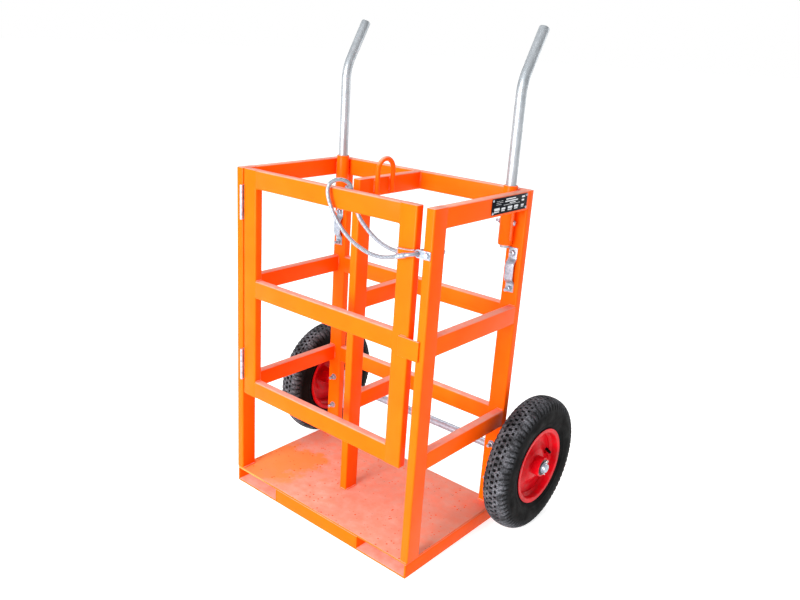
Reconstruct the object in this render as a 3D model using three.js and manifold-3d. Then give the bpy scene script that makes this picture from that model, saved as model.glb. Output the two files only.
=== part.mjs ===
// Gas cylinder trolley for an oxygen and an acetylene bottle: a welded frame of rectangular tube on a
// fork-lift base, with a hinged front gate, a retaining cable, two plug-in handles and two air tyres.
// Units are millimetres. +Z is up, +X is to the trolley's right and the gate is on the -Y side.
// Heights are counted from the floor, and depths from the front faces of the front posts.

import * as THREE from 'three';
import { mergeVertices } from 'three/addons/utils/BufferGeometryUtils.js';
import Module from 'manifold-3d';

const wasm = await Module();
wasm.setup();

// ---------------------------------------------------------------- driving dimensions

const GAP = 0.3;                       // clearance kept between neighbouring solids
const OVERCUT = 1;                     // how far a cutting block reaches past the piece it cuts

const FRAME = {
  width: 680,                          // over the outer faces of the posts
  depth: 420,                          // front face to rear face of the posts
  height: 975,                         // floor to the top of the frame
};

const TUBE = {
  wide: 50,                            // long side of the rectangular tube
  thin: 25,                            // short side
  wall: 2.5,
  corner: 4,                           // outside corner radius
};

const BASE = {
  height: 48,                          // floor to the top of the deck
  plate: 6,                            // deck thickness
  inset: 4,                            // the deck is this much narrower than the posts on each side
  pocketWidth: 167,                    // inside width of a fork pocket
  pocketWall: 5,
};

const RAIL_BOTTOMS = { low: 305, mid: 613, top: FRAME.height - TUBE.wide };

const PARTITION = {
  x: -23,                              // middle of the centre post and its rails
  front: 140,                          // front face of the centre post
};

const GATE = {
  left: -310.5,
  right: 290,
  bottom: 307,
  midBottom: 615,
};

const STOP = { left: 264, right: 327, bottom: 608, height: 51, thick: 6 };

const HINGE = {
  bottoms: { lower: 353, upper: 834 },
  height: 96,
  knuckles: 5,
  barrelRadius: 4.5,
  pinRadius: 2.6,
  leaf: 1.8,                           // leaf thickness
  leafDepth: 22,                       // how far a leaf reaches back between post and stile
  x: -312.75,                          // hinge axis
  y: -6,
};

const SOCKET = { radius: 18.5, bore: 14, bottom: 830, top: 985 };

const HANDLE = {
  radius: 13.5,
  bore: 11,
  bottom: 822,
  bendBottom: 1205,
  bendRadius: 120,
  lean: THREE.MathUtils.degToRad(30),
  tipLength: 118,                      // straight length above the bend
};

const HANDLE_BOLT = { z: 889, radius: 4, head: 6.5, headLength: 5.5, tail: 9 };

const EYE = { bar: 6.5, halfSpan: 31, y: 232, bottom: 932, springing: 993 };

const SADDLE = {
  width: 25,
  thick: 3,
  bottom: 700,
  bulgeBottom: 726,
  bulgeTop: 790,
  top: 822,
  stand: 15,                           // how far the bulge stands off the post
  shoulder: 9,                         // height of the slanted part
};

const WHEEL = {
  x: 406,                              // middle plane of the wheel
  radius: 197,
  rimRadius: 111.5,
  beadRadius: 102,
  beadHalf: 31,
  sheet: 3,
  hubHalf: 46,
  hubRadius: 28,
  bearingRadius: 23.5,
  bearingLength: 12,
};

// Half outlines of the tyre from the bead to the crown: [reach from the middle plane, radius].
const TYRE_OUTSIDE = [
  [WHEEL.beadHalf, WHEEL.rimRadius + 1], [37, 127.5], [40, 150], [36, 176], [26, 191], [14, 195.5],
  [0, WHEEL.radius],
];
const TYRE_INSIDE = [[31, 131.5], [32, 155], [24, 178], [0, 186]];
const TYRE_TOE = 8;                    // width of the bead's foot

// Outline of the rim: half of its barrel, from the well to the lip, and the dished web.
const RIM_BARREL = { wellHalf: 11, well: 92, seatHalf: 17, lip: 3.5 };
const RIM_WEB = [[8, RIM_BARREL.well], [8, 64], [20, 42], [22, WHEEL.hubRadius - 1]];

const VALVE_HOLE = { radius: 10, reach: 77, angle: THREE.MathUtils.degToRad(8) };

const AXLE = {
  radius: 12.5,
  y: 459,
  z: 197,
  halfLength: 464,
  collarRadius: 19,
  collar: 4,
  chamfer: 1.5,
  washerRadius: 16,
  washer: 3,
};

const BRACKET = { width: 40, plate: 6, bottom: 122, top: 262, lug: 20 };

const CABLE = {
  radius: 5,
  pivotX: 303,
  pivotZ: 868,
  ferruleRadius: 7,
};

const ANCHOR = { thick: 4, halfHeight: 10, eye: 6.5, right: 338 };

const ANCHOR_BOLT = { x: 328, radius: 5, head: 8.5, headLength: 6.5, tail: 6 };

const PLATE = { y: 306, z: 952, length: 160, height: 40, thick: 1.5, corner: 3 };

// ---------------------------------------------------------------- worked-out places

const HALF_WIDTH = FRAME.width / 2;
const DECK_HALF = HALF_WIDTH - BASE.inset;
const DECK_BOTTOM = BASE.height - BASE.plate;
const POST_BOTTOM = BASE.height + GAP;
const REAR_FACE = FRAME.depth - TUBE.thin;
const SOCKET_X = HALF_WIDTH - TUBE.thin - GAP - SOCKET.radius;
const SOCKET_Y = REAR_FACE - GAP - SOCKET.radius;
const SIDES = [['left', -1], ['right', 1]];

// ---------------------------------------------------------------- materials

const FINISHES = {
  orange: { color: 0xff6a13, roughness: 0.35, metalness: 0.1 },
  zinc: { color: 0xb9bdc2, roughness: 0.35, metalness: 0.9 },
  galvanised: { color: 0xc4c8cc, roughness: 0.45, metalness: 0.8 },
  steel: { color: 0x9a9da1, roughness: 0.3, metalness: 0.95 },
  red: { color: 0xd81628, roughness: 0.35, metalness: 0.1 },
  tyre: { color: 0x1c1b1a, roughness: 0.9, metalness: 0 },
  cable: { color: 0xaab2bc, roughness: 0.4, metalness: 0.3 },
  label: { color: 0x14171c, roughness: 0.4, metalness: 0.2 },
};

function piece(name, geometry, finish, [x, y, z] = [0, 0, 0]) {
  const mesh = new THREE.Mesh(geometry, new THREE.MeshStandardMaterial(FINISHES[finish]));
  mesh.name = name;
  mesh.position.set(x, y, z);
  return mesh;
}

// ---------------------------------------------------------------- booleans

function toSolid(geometry) {
  const bare = geometry.clone();
  bare.deleteAttribute('normal');
  bare.deleteAttribute('uv');
  const merged = mergeVertices(bare, 1e-4);
  return new wasm.Manifold(new wasm.Mesh({
    numProp: 3,
    vertProperties: new Float32Array(merged.attributes.position.array),
    triVerts: new Uint32Array(merged.index.array),
  }));
}

function toGeometry(solid) {
  const mesh = solid.getMesh();
  const geometry = new THREE.BufferGeometry();
  geometry.setAttribute('position', new THREE.BufferAttribute(mesh.vertProperties, 3));
  geometry.setIndex(new THREE.BufferAttribute(mesh.triVerts, 1));
  geometry.computeVertexNormals();
  return geometry;
}

function join(geometries) {
  const [first, ...others] = geometries.map(toSolid);
  return toGeometry(others.reduce((whole, solid) => whole.add(solid), first));
}

function cut(geometry, tools) {
  const whole = toSolid(geometry);
  return toGeometry(tools.map(toSolid).reduce((left, tool) => left.subtract(tool), whole));
}

// ---------------------------------------------------------------- basic shapes

function roundedRectangle(width, height, radius) {
  const [x, y] = [width / 2, height / 2];
  const shape = new THREE.Shape();
  shape.moveTo(-x + radius, -y);
  shape.lineTo(x - radius, -y);
  shape.absarc(x - radius, -y + radius, radius, -Math.PI / 2, 0);
  shape.lineTo(x, y - radius);
  shape.absarc(x - radius, y - radius, radius, 0, Math.PI / 2);
  shape.lineTo(-x + radius, y);
  shape.absarc(-x + radius, y - radius, radius, Math.PI / 2, Math.PI);
  shape.lineTo(-x, -y + radius);
  shape.absarc(-x + radius, -y + radius, radius, Math.PI, 1.5 * Math.PI);
  return shape;
}

function circle(radius, x = 0, y = 0) {
  return new THREE.Shape().absarc(x, y, radius, 0, 2 * Math.PI);
}

function extrude(shape, depth, curveSegments = 2) {
  return new THREE.ExtrudeGeometry(shape, { depth, curveSegments, bevelEnabled: false });
}

// A shape drawn with its first axis along Y and its second along Z, drawn out along +X.
function extrudeAlongX(shape, depth, curveSegments) {
  return extrude(shape, depth, curveSegments).rotateZ(Math.PI / 2).rotateY(Math.PI / 2);
}

function block([x0, y0, z0], [x1, y1, z1]) {
  const geometry = new THREE.BoxGeometry(x1 - x0, y1 - y0, z1 - z0);
  return geometry.translate((x0 + x1) / 2, (y0 + y1) / 2, (z0 + z1) / 2);
}

function rod(radius, length, sides = 12) {
  return new THREE.CylinderGeometry(radius, radius, length, sides);
}

// A lathe turned about the X axis. Each point is [place along X, radius]. The outline is put in the
// order that makes the lathe's faces point outwards.
function turned(outline, segments = 36) {
  const points = outline.map(([x, radius]) => new THREE.Vector2(radius, x));
  if (THREE.ShapeUtils.area(points) < 0) points.reverse();
  return new THREE.LatheGeometry(points, segments).rotateZ(-Math.PI / 2);
}

function ring(x0, x1, inner, outer, segments) {
  return turned([[x0, inner], [x0, outer], [x1, outer], [x1, inner], [x0, inner]], segments);
}

// A path through chosen points, used point by point rather than by distance.
class Waypoints extends THREE.Curve {
  constructor(points) {
    super();
    this.points = points;
  }

  getPoint(t, target = new THREE.Vector3()) {
    const last = this.points.length - 1;
    const place = THREE.MathUtils.clamp(t, 0, 1) * last;
    const index = Math.min(Math.floor(place), last - 1);
    return target.lerpVectors(this.points[index], this.points[index + 1], place - index);
  }

  getUtoTmapping(u) {
    return u;
  }
}

// Round tube along a curve. A bore of 0 makes it solid.
function pipe(path, radius, bore, steps, sides) {
  const section = circle(radius);
  if (bore > 0) section.holes.push(circle(bore));
  return new THREE.ExtrudeGeometry(section, { steps, curveSegments: sides / 2, extrudePath: path });
}

// ---------------------------------------------------------------- rectangular tube

// Hollow section with its sides along X and Y, drawn out along +Z from the origin.
function hollowSection(sizeX, sizeY, length) {
  const shape = roundedRectangle(sizeX, sizeY, TUBE.corner);
  const [x, y] = [sizeX / 2 - TUBE.wall, sizeY / 2 - TUBE.wall];
  const corners = [[-x, -y], [x, -y], [x, y], [-x, y]].map((corner) => new THREE.Vector2(...corner));
  shape.holes.push(new THREE.Path(corners));
  return extrude(shape, length);
}

// Upright tube with a welded cap on its top, which is level with the top of the frame.
function upright(name, [x0, y0], [sizeX, sizeY], bottom) {
  const length = FRAME.height - bottom;
  const cap = extrude(roundedRectangle(sizeX, sizeY, TUBE.corner), TUBE.wall);
  cap.translate(0, 0, length - TUBE.wall);
  const geometry = join([hollowSection(sizeX, sizeY, length), cap]);
  return piece(name, geometry, 'orange', [x0 + sizeX / 2, y0 + sizeY / 2, bottom]);
}

// Rail between y0 and y1, with its thin side along X.
function railAlongY(name, x, y0, y1, bottom) {
  const length = y1 - y0 - 2 * GAP;
  const geometry = hollowSection(TUBE.thin, TUBE.wide, length).rotateX(-Math.PI / 2);
  return piece(name, geometry, 'orange', [x, y0 + GAP, bottom + TUBE.wide / 2]);
}

// Rail between x0 and x1, with its thin side along Y.
function railAlongX(name, x0, x1, y, bottom) {
  const length = x1 - x0 - 2 * GAP;
  const geometry = hollowSection(TUBE.wide, TUBE.thin, length).rotateY(Math.PI / 2);
  return piece(name, geometry, 'orange', [x0 + GAP, y, bottom + TUBE.wide / 2]);
}

// ---------------------------------------------------------------- base

function forkPocket(name, side) {
  const outer = DECK_HALF;
  const inner = DECK_HALF - BASE.pocketWidth - 2 * BASE.pocketWall;
  const [x0, x1] = [side * outer, side * inner].sort((a, b) => a - b);
  const top = DECK_BOTTOM - GAP;
  const body = block([x0, 0, 0], [x1, FRAME.depth, top]);
  const hollow = block(
    [x0 + BASE.pocketWall, -OVERCUT, BASE.pocketWall],
    [x1 - BASE.pocketWall, FRAME.depth + OVERCUT, top + OVERCUT],
  );
  return piece(name, cut(body, [hollow]), 'orange');
}

function base() {
  const sill = DECK_HALF - BASE.pocketWidth - 2 * BASE.pocketWall - GAP;
  const deck = block([-DECK_HALF, 0, DECK_BOTTOM], [DECK_HALF, FRAME.depth, BASE.height]);
  const front = block([-sill, 0, 0], [sill, BASE.pocketWall, DECK_BOTTOM - GAP]);
  return [
    piece('deck_plate', deck, 'orange'),
    piece('front_sill', front, 'orange'),
    ...SIDES.map(([name, side]) => forkPocket(`fork_pocket_${name}`, side)),
  ];
}

// ---------------------------------------------------------------- posts and rails

function posts() {
  const left = -HALF_WIDTH;
  const front = [TUBE.thin, TUBE.wide];
  const rear = [TUBE.wide, TUBE.thin];
  const places = {
    post_front_left: [[left, 0], front],
    post_front_right: [[HALF_WIDTH - TUBE.thin, 0], front],
    post_rear_left: [[left, REAR_FACE], rear],
    post_rear_right: [[HALF_WIDTH - TUBE.wide, REAR_FACE], rear],
    centre_post: [[PARTITION.x - TUBE.thin / 2, PARTITION.front], front],
  };
  return Object.entries(places).map(([name, [corner, size]]) => (
    upright(name, corner, size, POST_BOTTOM)
  ));
}

function rails() {
  const sideX = HALF_WIDTH - TUBE.thin / 2;
  const rearEnd = HALF_WIDTH - TUBE.wide;
  return Object.entries(RAIL_BOTTOMS).flatMap(([level, bottom]) => [
    railAlongY(`side_rail_left_${level}`, -sideX, TUBE.wide, REAR_FACE, bottom),
    railAlongY(`side_rail_right_${level}`, sideX, TUBE.wide, REAR_FACE, bottom),
    railAlongY(`centre_rail_${level}`, PARTITION.x, PARTITION.front + TUBE.wide, REAR_FACE, bottom),
    railAlongX(`rear_rail_${level}`, -rearEnd, rearEnd, FRAME.depth - TUBE.thin / 2, bottom),
  ]);
}

// Bent round bar, welded to the right face of the top centre rail.
function liftingEye() {
  const { halfSpan, bottom, springing } = EYE;
  const steps = 12;
  const sides = 12;
  const points = [new THREE.Vector3(0, -halfSpan, bottom)];
  for (let i = 0; i <= steps; i += 1) {
    const angle = Math.PI - (i / steps) * Math.PI;
    const rise = halfSpan * Math.sin(angle);
    points.push(new THREE.Vector3(0, halfSpan * Math.cos(angle), springing + rise));
  }
  points.push(new THREE.Vector3(0, halfSpan, bottom));
  const x = PARTITION.x + TUBE.thin / 2 + GAP + EYE.bar;
  const bar = pipe(new Waypoints(points), EYE.bar, 0, points.length - 1, sides);
  return piece('lifting_eye', bar, 'orange', [x, EYE.y, 0]);
}

// ---------------------------------------------------------------- gate

function gate() {
  const stile = (name, x0) => upright(name, [x0, 0], [TUBE.wide, TUBE.thin], GATE.bottom);
  const rail = (name, bottom) => railAlongX(
    name,
    GATE.left + TUBE.wide,
    GATE.right - TUBE.wide,
    TUBE.thin / 2,
    bottom,
  );
  const stop = block(
    [STOP.left, -GAP - STOP.thick, STOP.bottom],
    [STOP.right, -GAP, STOP.bottom + STOP.height],
  );
  return [
    stile('gate_stile_hinge', GATE.left),
    stile('gate_stile_latch', GATE.right - TUBE.wide),
    rail('gate_rail_low', GATE.bottom),
    rail('gate_rail_mid', GATE.midBottom),
    rail('gate_rail_top', RAIL_BOTTOMS.top),
    piece('gate_stop_plate', stop, 'orange'),
  ];
}

// One leaf of a butt hinge: a flat strip with every second knuckle of the barrel on its front edge.
function hingeLeaf(side, firstKnuckle) {
  const { height, knuckles, barrelRadius, pinRadius, leaf, leafDepth } = HINGE;
  const step = height / knuckles;
  const near = side * GAP / 2;
  const far = side * (GAP / 2 + leaf);
  const strip = block(
    [Math.min(near, far), 0, 0],
    [Math.max(near, far), -HINGE.y + leafDepth, height],
  );
  const barrels = [];
  const clearances = [];
  for (let i = 0; i < knuckles; i += 1) {
    const own = i % 2 === firstKnuckle;
    const radius = own ? barrelRadius : barrelRadius + GAP;
    const length = own ? step - GAP : step + GAP;
    const barrel = rod(radius, length).rotateX(Math.PI / 2).translate(0, 0, (i + 0.5) * step);
    (own ? barrels : clearances).push(barrel);
  }
  const hole = rod(pinRadius + GAP, 3 * height).rotateX(Math.PI / 2);
  return cut(join([cut(strip, clearances), ...barrels]), [hole]);
}

function hinges() {
  return Object.entries(HINGE.bottoms).flatMap(([level, bottom]) => {
    const place = [HINGE.x, HINGE.y, bottom];
    const pin = rod(HINGE.pinRadius, HINGE.height).rotateX(Math.PI / 2);
    pin.translate(0, 0, HINGE.height / 2);
    return [
      piece(`hinge_${level}_post_leaf`, hingeLeaf(-1, 0), 'zinc', place),
      piece(`hinge_${level}_gate_leaf`, hingeLeaf(1, 1), 'zinc', place),
      piece(`hinge_${level}_pin`, pin, 'steel', place),
    ];
  });
}

// ---------------------------------------------------------------- retaining cable

// The loop goes through the anchor's eye and over the gate's top rail, with one strand on each side
// of the gate. It ends in the ferrule's two ends.
const CABLE_ROUTE = [
  [259, -25.0, 856], [251, -24.8, 853.4], [236, -21.0, 848], [205, -16.0, 841], [170, -13.5, 841],
  [138, -12.5, 848], [106, -12.0, 861], [76, -12.0, 881], [50, -12.5, 908], [31, -13.0, 938],
  [22, -13.0, 966], [24, -9.0, 984], [33, 3.0, 994], [44, 18.0, 994], [53, 30.0, 985],
  [59, 35.5, 966], [68, 37.0, 941], [80, 36.0, 915], [99, 35.0, 895], [127, 35.0, 874],
  [160, 36.0, 857], [195, 38.0, 848], [230, 40.5, 848], [262, 42.5, 855], [284, 42.0, 863],
  [297, 35.0, 867], [303, 22.0, 868], [303, 8.0, 868], [303, -5.0, 868], [301, -15.0, 868],
  [294.5, -22.0, 867.2], [287, -24.8, 865.1], [283, -25.0, 863.8],
];

function cableAndFerrule() {
  const points = CABLE_ROUTE.map(([x, y, z]) => new THREE.Vector3(x, y, z));
  const curve = new THREE.CatmullRomCurve3(points);
  const steps = 66;
  const sides = 8;
  const cable = pipe(curve, CABLE.radius, 0, steps, sides);
  const start = points[0];
  const end = points[points.length - 1];
  const along = new THREE.Vector3().subVectors(end, start);
  const middle = start.clone().addScaledVector(along, 0.5);
  const ferrule = rod(CABLE.ferruleRadius, along.length() - 4 * GAP, 2 * sides);
  const sleeve = piece('cable_ferrule', ferrule, 'zinc', middle.toArray());
  sleeve.quaternion.setFromUnitVectors(new THREE.Vector3(0, 1, 0), along.normalize());
  return [piece('retaining_cable', cable, 'cable'), sleeve];
}

// Flat plate with an eye for the cable, bolted to the front of the right front post.
function cableAnchor() {
  const { thick, halfHeight, eye, right } = ANCHOR;
  const shape = new THREE.Shape();
  const x = CABLE.pivotX;
  shape.moveTo(x, -halfHeight);
  shape.lineTo(right, -halfHeight);
  shape.lineTo(right, halfHeight);
  shape.lineTo(x, halfHeight);
  shape.absarc(x, 0, halfHeight, Math.PI / 2, 1.5 * Math.PI);
  shape.holes.push(circle(eye, x, 0), circle(ANCHOR_BOLT.radius + GAP, ANCHOR_BOLT.x, 0));
  const geometry = extrude(shape, thick, 8).rotateX(Math.PI / 2);
  return piece('cable_anchor', geometry, 'zinc', [0, -GAP, CABLE.pivotZ]);
}

// ---------------------------------------------------------------- bolts

// Bolt along +Y with its head standing on the origin and a nut tightened over the grip on the -Y side.
function boltAndNut({ radius, head, headLength, grip, tail }) {
  const inHead = headLength / 2;
  const length = inHead + grip + headLength + tail;
  const shank = rod(radius, length).translate(0, inHead - length / 2, 0);
  const cap = rod(head, headLength, 6).translate(0, headLength / 2, 0);
  const nut = rod(head, headLength, 6).translate(0, -grip - headLength / 2, 0);
  return join([shank, cap, nut]);
}

// Holes along an axis of the trolley, cut through a piece that is only moved, not turned.
function drill(target, axis, [x, y, z], radius) {
  const reach = 2 * FRAME.depth;
  const tool = rod(radius, reach);
  if (axis === 'x') tool.rotateZ(Math.PI / 2);
  tool.translate(x - target.position.x, y - target.position.y, z - target.position.z);
  target.geometry = cut(target.geometry, [tool]);
}

function anchorBolt() {
  const front = ANCHOR.thick + 2 * GAP;
  const geometry = boltAndNut({ ...ANCHOR_BOLT, grip: front + TUBE.wide + GAP });
  const bolt = piece('cable_anchor_bolt', geometry, 'zinc', [ANCHOR_BOLT.x, -front, CABLE.pivotZ]);
  bolt.rotation.x = Math.PI;
  return bolt;
}

// ---------------------------------------------------------------- handles and their sockets

function handleTube() {
  const { bottom, bendBottom, bendRadius, lean, tipLength } = HANDLE;
  const points = [new THREE.Vector3(0, 0, bottom)];
  const steps = 6;
  for (let i = 0; i <= steps; i += 1) {
    const angle = (i / steps) * lean;
    const back = bendRadius * (1 - Math.cos(angle));
    points.push(new THREE.Vector3(0, back, bendBottom + bendRadius * Math.sin(angle)));
  }
  const tip = points[points.length - 1].clone();
  tip.y += tipLength * Math.sin(lean);
  tip.z += tipLength * Math.cos(lean);
  points.push(tip);
  return pipe(new Waypoints(points), HANDLE.radius, HANDLE.bore, points.length - 1, 16);
}

function handleSide(name, side) {
  const x = side * SOCKET_X;
  const section = circle(SOCKET.radius);
  section.holes.push(circle(SOCKET.bore));
  const sleeve = extrude(section, SOCKET.top - SOCKET.bottom, 10);
  const socket = piece(`handle_socket_${name}`, sleeve, 'orange', [x, SOCKET_Y, SOCKET.bottom]);
  const handle = piece(`handle_${name}`, handleTube(), 'galvanised', [x, SOCKET_Y, 0]);
  const hole = HANDLE_BOLT.radius + GAP;
  drill(socket, 'x', [x, SOCKET_Y, HANDLE_BOLT.z], hole);
  drill(handle, 'x', [x, SOCKET_Y, HANDLE_BOLT.z], hole);
  const geometry = boltAndNut({ ...HANDLE_BOLT, grip: 2 * (SOCKET.radius + GAP) });
  const reach = side * (SOCKET_X + SOCKET.radius + GAP);
  const bolt = piece(`handle_bolt_${name}`, geometry, 'zinc', [reach, SOCKET_Y, HANDLE_BOLT.z]);
  bolt.rotation.z = -side * Math.PI / 2;
  return [socket, handle, bolt];
}

// ---------------------------------------------------------------- bent sheet and strip

// Closed outline of a strip of even thickness that follows a broken centre line.
function stripOutline(centre, thickness) {
  const points = centre.map(([x, y]) => new THREE.Vector2(x, y));
  const normal = (a, b) => new THREE.Vector2(a.y - b.y, b.x - a.x).normalize();
  const mitre = (i) => {
    const before = normal(points[Math.max(i - 1, 0)], points[Math.max(i, 1)]);
    const last = points.length - 1;
    const after = normal(points[Math.min(i, last - 1)], points[Math.min(i + 1, last)]);
    return before.clone().add(after).divideScalar(1 + before.dot(after));
  };
  const shift = (sign) => points.map((point, i) => (
    point.clone().addScaledVector(mitre(i), sign * thickness / 2).toArray()
  ));
  return [...shift(1), ...shift(-1).reverse()];
}

// Strap with a raised middle, bolted to the front of a rear post. A cylinder strap goes behind it.
function saddle(name, side) {
  const { width, thick, bottom, bulgeBottom, bulgeTop, top, stand, shoulder } = SADDLE;
  const flat = -GAP - thick / 2;
  const raised = -stand + thick / 2;
  const centre = [
    [flat, bottom],
    [flat, bulgeBottom],
    [raised, bulgeBottom + shoulder],
    [raised, bulgeTop - shoulder],
    [flat, bulgeTop],
    [flat, top],
  ];
  const outline = stripOutline(centre, thick).map(([y, z]) => new THREE.Vector2(y, z));
  const geometry = extrudeAlongX(new THREE.Shape(outline), width);
  const x = side * (HALF_WIDTH - TUBE.wide / 2) - width / 2;
  return piece(`strap_saddle_${name}`, geometry, 'zinc', [x, REAR_FACE, 0]);
}

// ---------------------------------------------------------------- wheels

// Places along the axle are counted from the wheel's middle, with + on the outer side.
function mirrored(points) {
  return points.map(([x, radius]) => [-x, radius]).reverse();
}

function close(outline) {
  return [...outline, outline[0]];
}

function wheelRim() {
  const { beadHalf, beadRadius, rimRadius, sheet, hubHalf, hubRadius, bearingRadius } = WHEEL;
  const flange = beadHalf + GAP + sheet / 2;
  const seat = beadRadius - sheet / 2;
  const edge = rimRadius - sheet / 2;
  const half = [
    [RIM_BARREL.wellHalf, RIM_BARREL.well],
    [RIM_BARREL.seatHalf, seat],
    [flange, seat],
    [flange, edge],
    [flange + RIM_BARREL.lip, edge],
  ];
  const shell = turned(close(stripOutline([...mirrored(half), ...half], sheet)));
  const web = turned(close(stripOutline(RIM_WEB, sheet)));
  const hub = ring(-hubHalf, hubHalf, bearingRadius + GAP, hubRadius, 24);
  const { radius, reach, angle } = VALVE_HOLE;
  const opening = rod(radius, 2 * flange).rotateZ(Math.PI / 2);
  opening.translate(flange, reach * Math.cos(angle), reach * Math.sin(angle));
  return cut(join([shell, web, hub]), [opening]);
}

function wheelTyre() {
  const bead = WHEEL.beadRadius + GAP;
  const outside = [[WHEEL.beadHalf, bead], ...TYRE_OUTSIDE];
  const inside = [[WHEEL.beadHalf - TYRE_TOE, bead], ...TYRE_INSIDE];
  const outer = [...outside, ...mirrored(outside).slice(1)];
  const inner = [...inside, ...mirrored(inside).slice(1)].reverse();
  return turned(close([...outer, ...inner]));
}

function wheel(name, side) {
  const { x, hubHalf, bearingRadius, bearingLength } = WHEEL;
  const centre = new THREE.Group();
  centre.position.set(side * x, AXLE.y, AXLE.z);
  if (side < 0) centre.rotation.z = Math.PI;
  const bearing = () => ring(0, bearingLength, AXLE.radius + GAP, bearingRadius, 16);
  centre.add(
    piece(`wheel_rim_${name}`, wheelRim(), 'red'),
    piece(`wheel_tyre_${name}`, wheelTyre(), 'tyre'),
    piece(`wheel_bearing_outer_${name}`, bearing(), 'steel', [hubHalf - bearingLength, 0, 0]),
    piece(`wheel_bearing_inner_${name}`, bearing(), 'steel', [-hubHalf, 0, 0]),
  );
  return centre;
}

// ---------------------------------------------------------------- axle

function axle() {
  const { radius, halfLength, collarRadius, collar, chamfer } = AXLE;
  const stop = WHEEL.x - WHEEL.hubHalf - GAP;
  const half = [
    [stop - collar, radius], [stop - collar, collarRadius], [stop, collarRadius], [stop, radius],
    [halfLength - chamfer, radius], [halfLength, radius - chamfer], [halfLength, 0],
  ];
  return piece('axle', turned([...mirrored(half), ...half], 16), 'zinc', [0, AXLE.y, AXLE.z]);
}

function retainingWasher(name, side) {
  const start = WHEEL.x + WHEEL.hubHalf + GAP;
  const washer = ring(start, start + AXLE.washer, AXLE.radius + GAP, AXLE.washerRadius, 16);
  const mesh = piece(`axle_washer_${name}`, washer, 'zinc', [0, AXLE.y, AXLE.z]);
  if (side < 0) mesh.rotation.z = Math.PI;
  return mesh;
}

// Plate on the back of a rear post with a lug that carries the axle.
function axleBracket(name, side) {
  const { width, plate, bottom, top, lug } = BRACKET;
  const bore = AXLE.radius + GAP;
  const [y, z] = [AXLE.y - FRAME.depth, AXLE.z];
  const shape = new THREE.Shape();
  shape.moveTo(GAP, bottom);
  shape.lineTo(GAP + plate, bottom);
  shape.lineTo(GAP + plate, z - lug);
  shape.lineTo(y, z - lug);
  shape.absarc(y, z, lug, -Math.PI / 2, Math.PI / 2);
  shape.lineTo(GAP + plate, z + lug);
  shape.lineTo(GAP + plate, top);
  shape.lineTo(GAP, top);
  shape.holes.push(circle(bore, y, z));
  const x = side * (HALF_WIDTH - TUBE.wide / 2) - width / 2;
  const geometry = extrudeAlongX(shape, width, 8);
  return piece(`axle_bracket_${name}`, geometry, 'zinc', [x, FRAME.depth, 0]);
}

// ---------------------------------------------------------------- nameplate and assembly

function nameplate() {
  const shape = roundedRectangle(PLATE.length, PLATE.height, PLATE.corner);
  const geometry = extrudeAlongX(shape, PLATE.thick);
  return piece('nameplate', geometry, 'label', [HALF_WIDTH + GAP, PLATE.y, PLATE.z]);
}

function trolley() {
  const group = new THREE.Group();
  group.add(
    ...base(),
    ...posts(),
    ...rails(),
    liftingEye(),
    ...gate(),
    ...hinges(),
    cableAnchor(),
    anchorBolt(),
    axle(),
    nameplate(),
  );
  SIDES.forEach(([name, side]) => {
    group.add(
      ...handleSide(name, side),
      saddle(name, side),
      axleBracket(name, side),
      retainingWasher(name, side),
      wheel(name, side),
    );
  });
  const bolted = group.getObjectByName('post_front_right');
  drill(bolted, 'y', [ANCHOR_BOLT.x, 0, CABLE.pivotZ], ANCHOR_BOLT.radius + GAP);
  return group;
}

// The origin is on the floor, under the middle of the trolley's bounding box without the loose cable.
function placed(group) {
  const middle = new THREE.Box3().setFromObject(group, true).getCenter(new THREE.Vector3());
  group.position.set(-middle.x, -middle.y, 0);
  group.add(...cableAndFerrule());
  group.updateMatrixWorld(true);
  return group;
}

const cart = placed(trolley());

export default cart;
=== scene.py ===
# %% [markdown]
# # A gas bottle trolley, finished over its CAD frame
# The trolley is a welded cage of painted rectangular tube. It has a hinged front gate, a loop of
# sleeved steel rope that holds the gate shut, two plug-in handles and two air tyres on one axle.
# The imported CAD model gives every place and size. Each step below replaces a plain solid by a
# piece with the rounded edges, welds, threads and treads that the real one has.

# %% Load the frame
import math
import random

import bmesh
import bpy
from mathutils import Matrix, Vector


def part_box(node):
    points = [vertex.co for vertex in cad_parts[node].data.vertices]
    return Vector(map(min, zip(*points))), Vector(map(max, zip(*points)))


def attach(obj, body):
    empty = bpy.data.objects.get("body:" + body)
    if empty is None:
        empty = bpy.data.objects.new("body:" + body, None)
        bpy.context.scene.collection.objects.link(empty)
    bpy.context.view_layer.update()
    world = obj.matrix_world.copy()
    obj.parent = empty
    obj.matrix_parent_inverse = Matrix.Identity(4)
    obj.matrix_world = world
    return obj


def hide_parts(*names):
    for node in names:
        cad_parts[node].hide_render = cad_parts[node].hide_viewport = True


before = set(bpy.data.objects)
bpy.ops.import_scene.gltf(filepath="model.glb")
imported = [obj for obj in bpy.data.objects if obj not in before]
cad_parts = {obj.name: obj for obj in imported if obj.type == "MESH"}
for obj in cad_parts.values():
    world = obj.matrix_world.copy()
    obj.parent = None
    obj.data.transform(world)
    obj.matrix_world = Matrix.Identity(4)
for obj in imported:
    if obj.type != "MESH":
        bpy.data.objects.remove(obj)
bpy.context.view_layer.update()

MM = 0.001
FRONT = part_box("post_front_right")[0].y


# %% [markdown]
# ## Places on the drawing
# The workshop drawing counts millimetres: x from the middle, y back from the front faces of the
# front posts, z up from the floor. One small function turns such a place into the row's metres,
# so that the numbers below can be the ones a welder would read.

# %% Drawing to row frame
def at(x, y, z):
    """A place on the drawing, in millimetres, as a point in the row frame."""
    return Vector((x * MM, y * MM + FRONT, z * MM))


def middle_of(node):
    """The middle of a CAD node's box."""
    low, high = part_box(node)
    return (low + high) / 2


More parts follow.
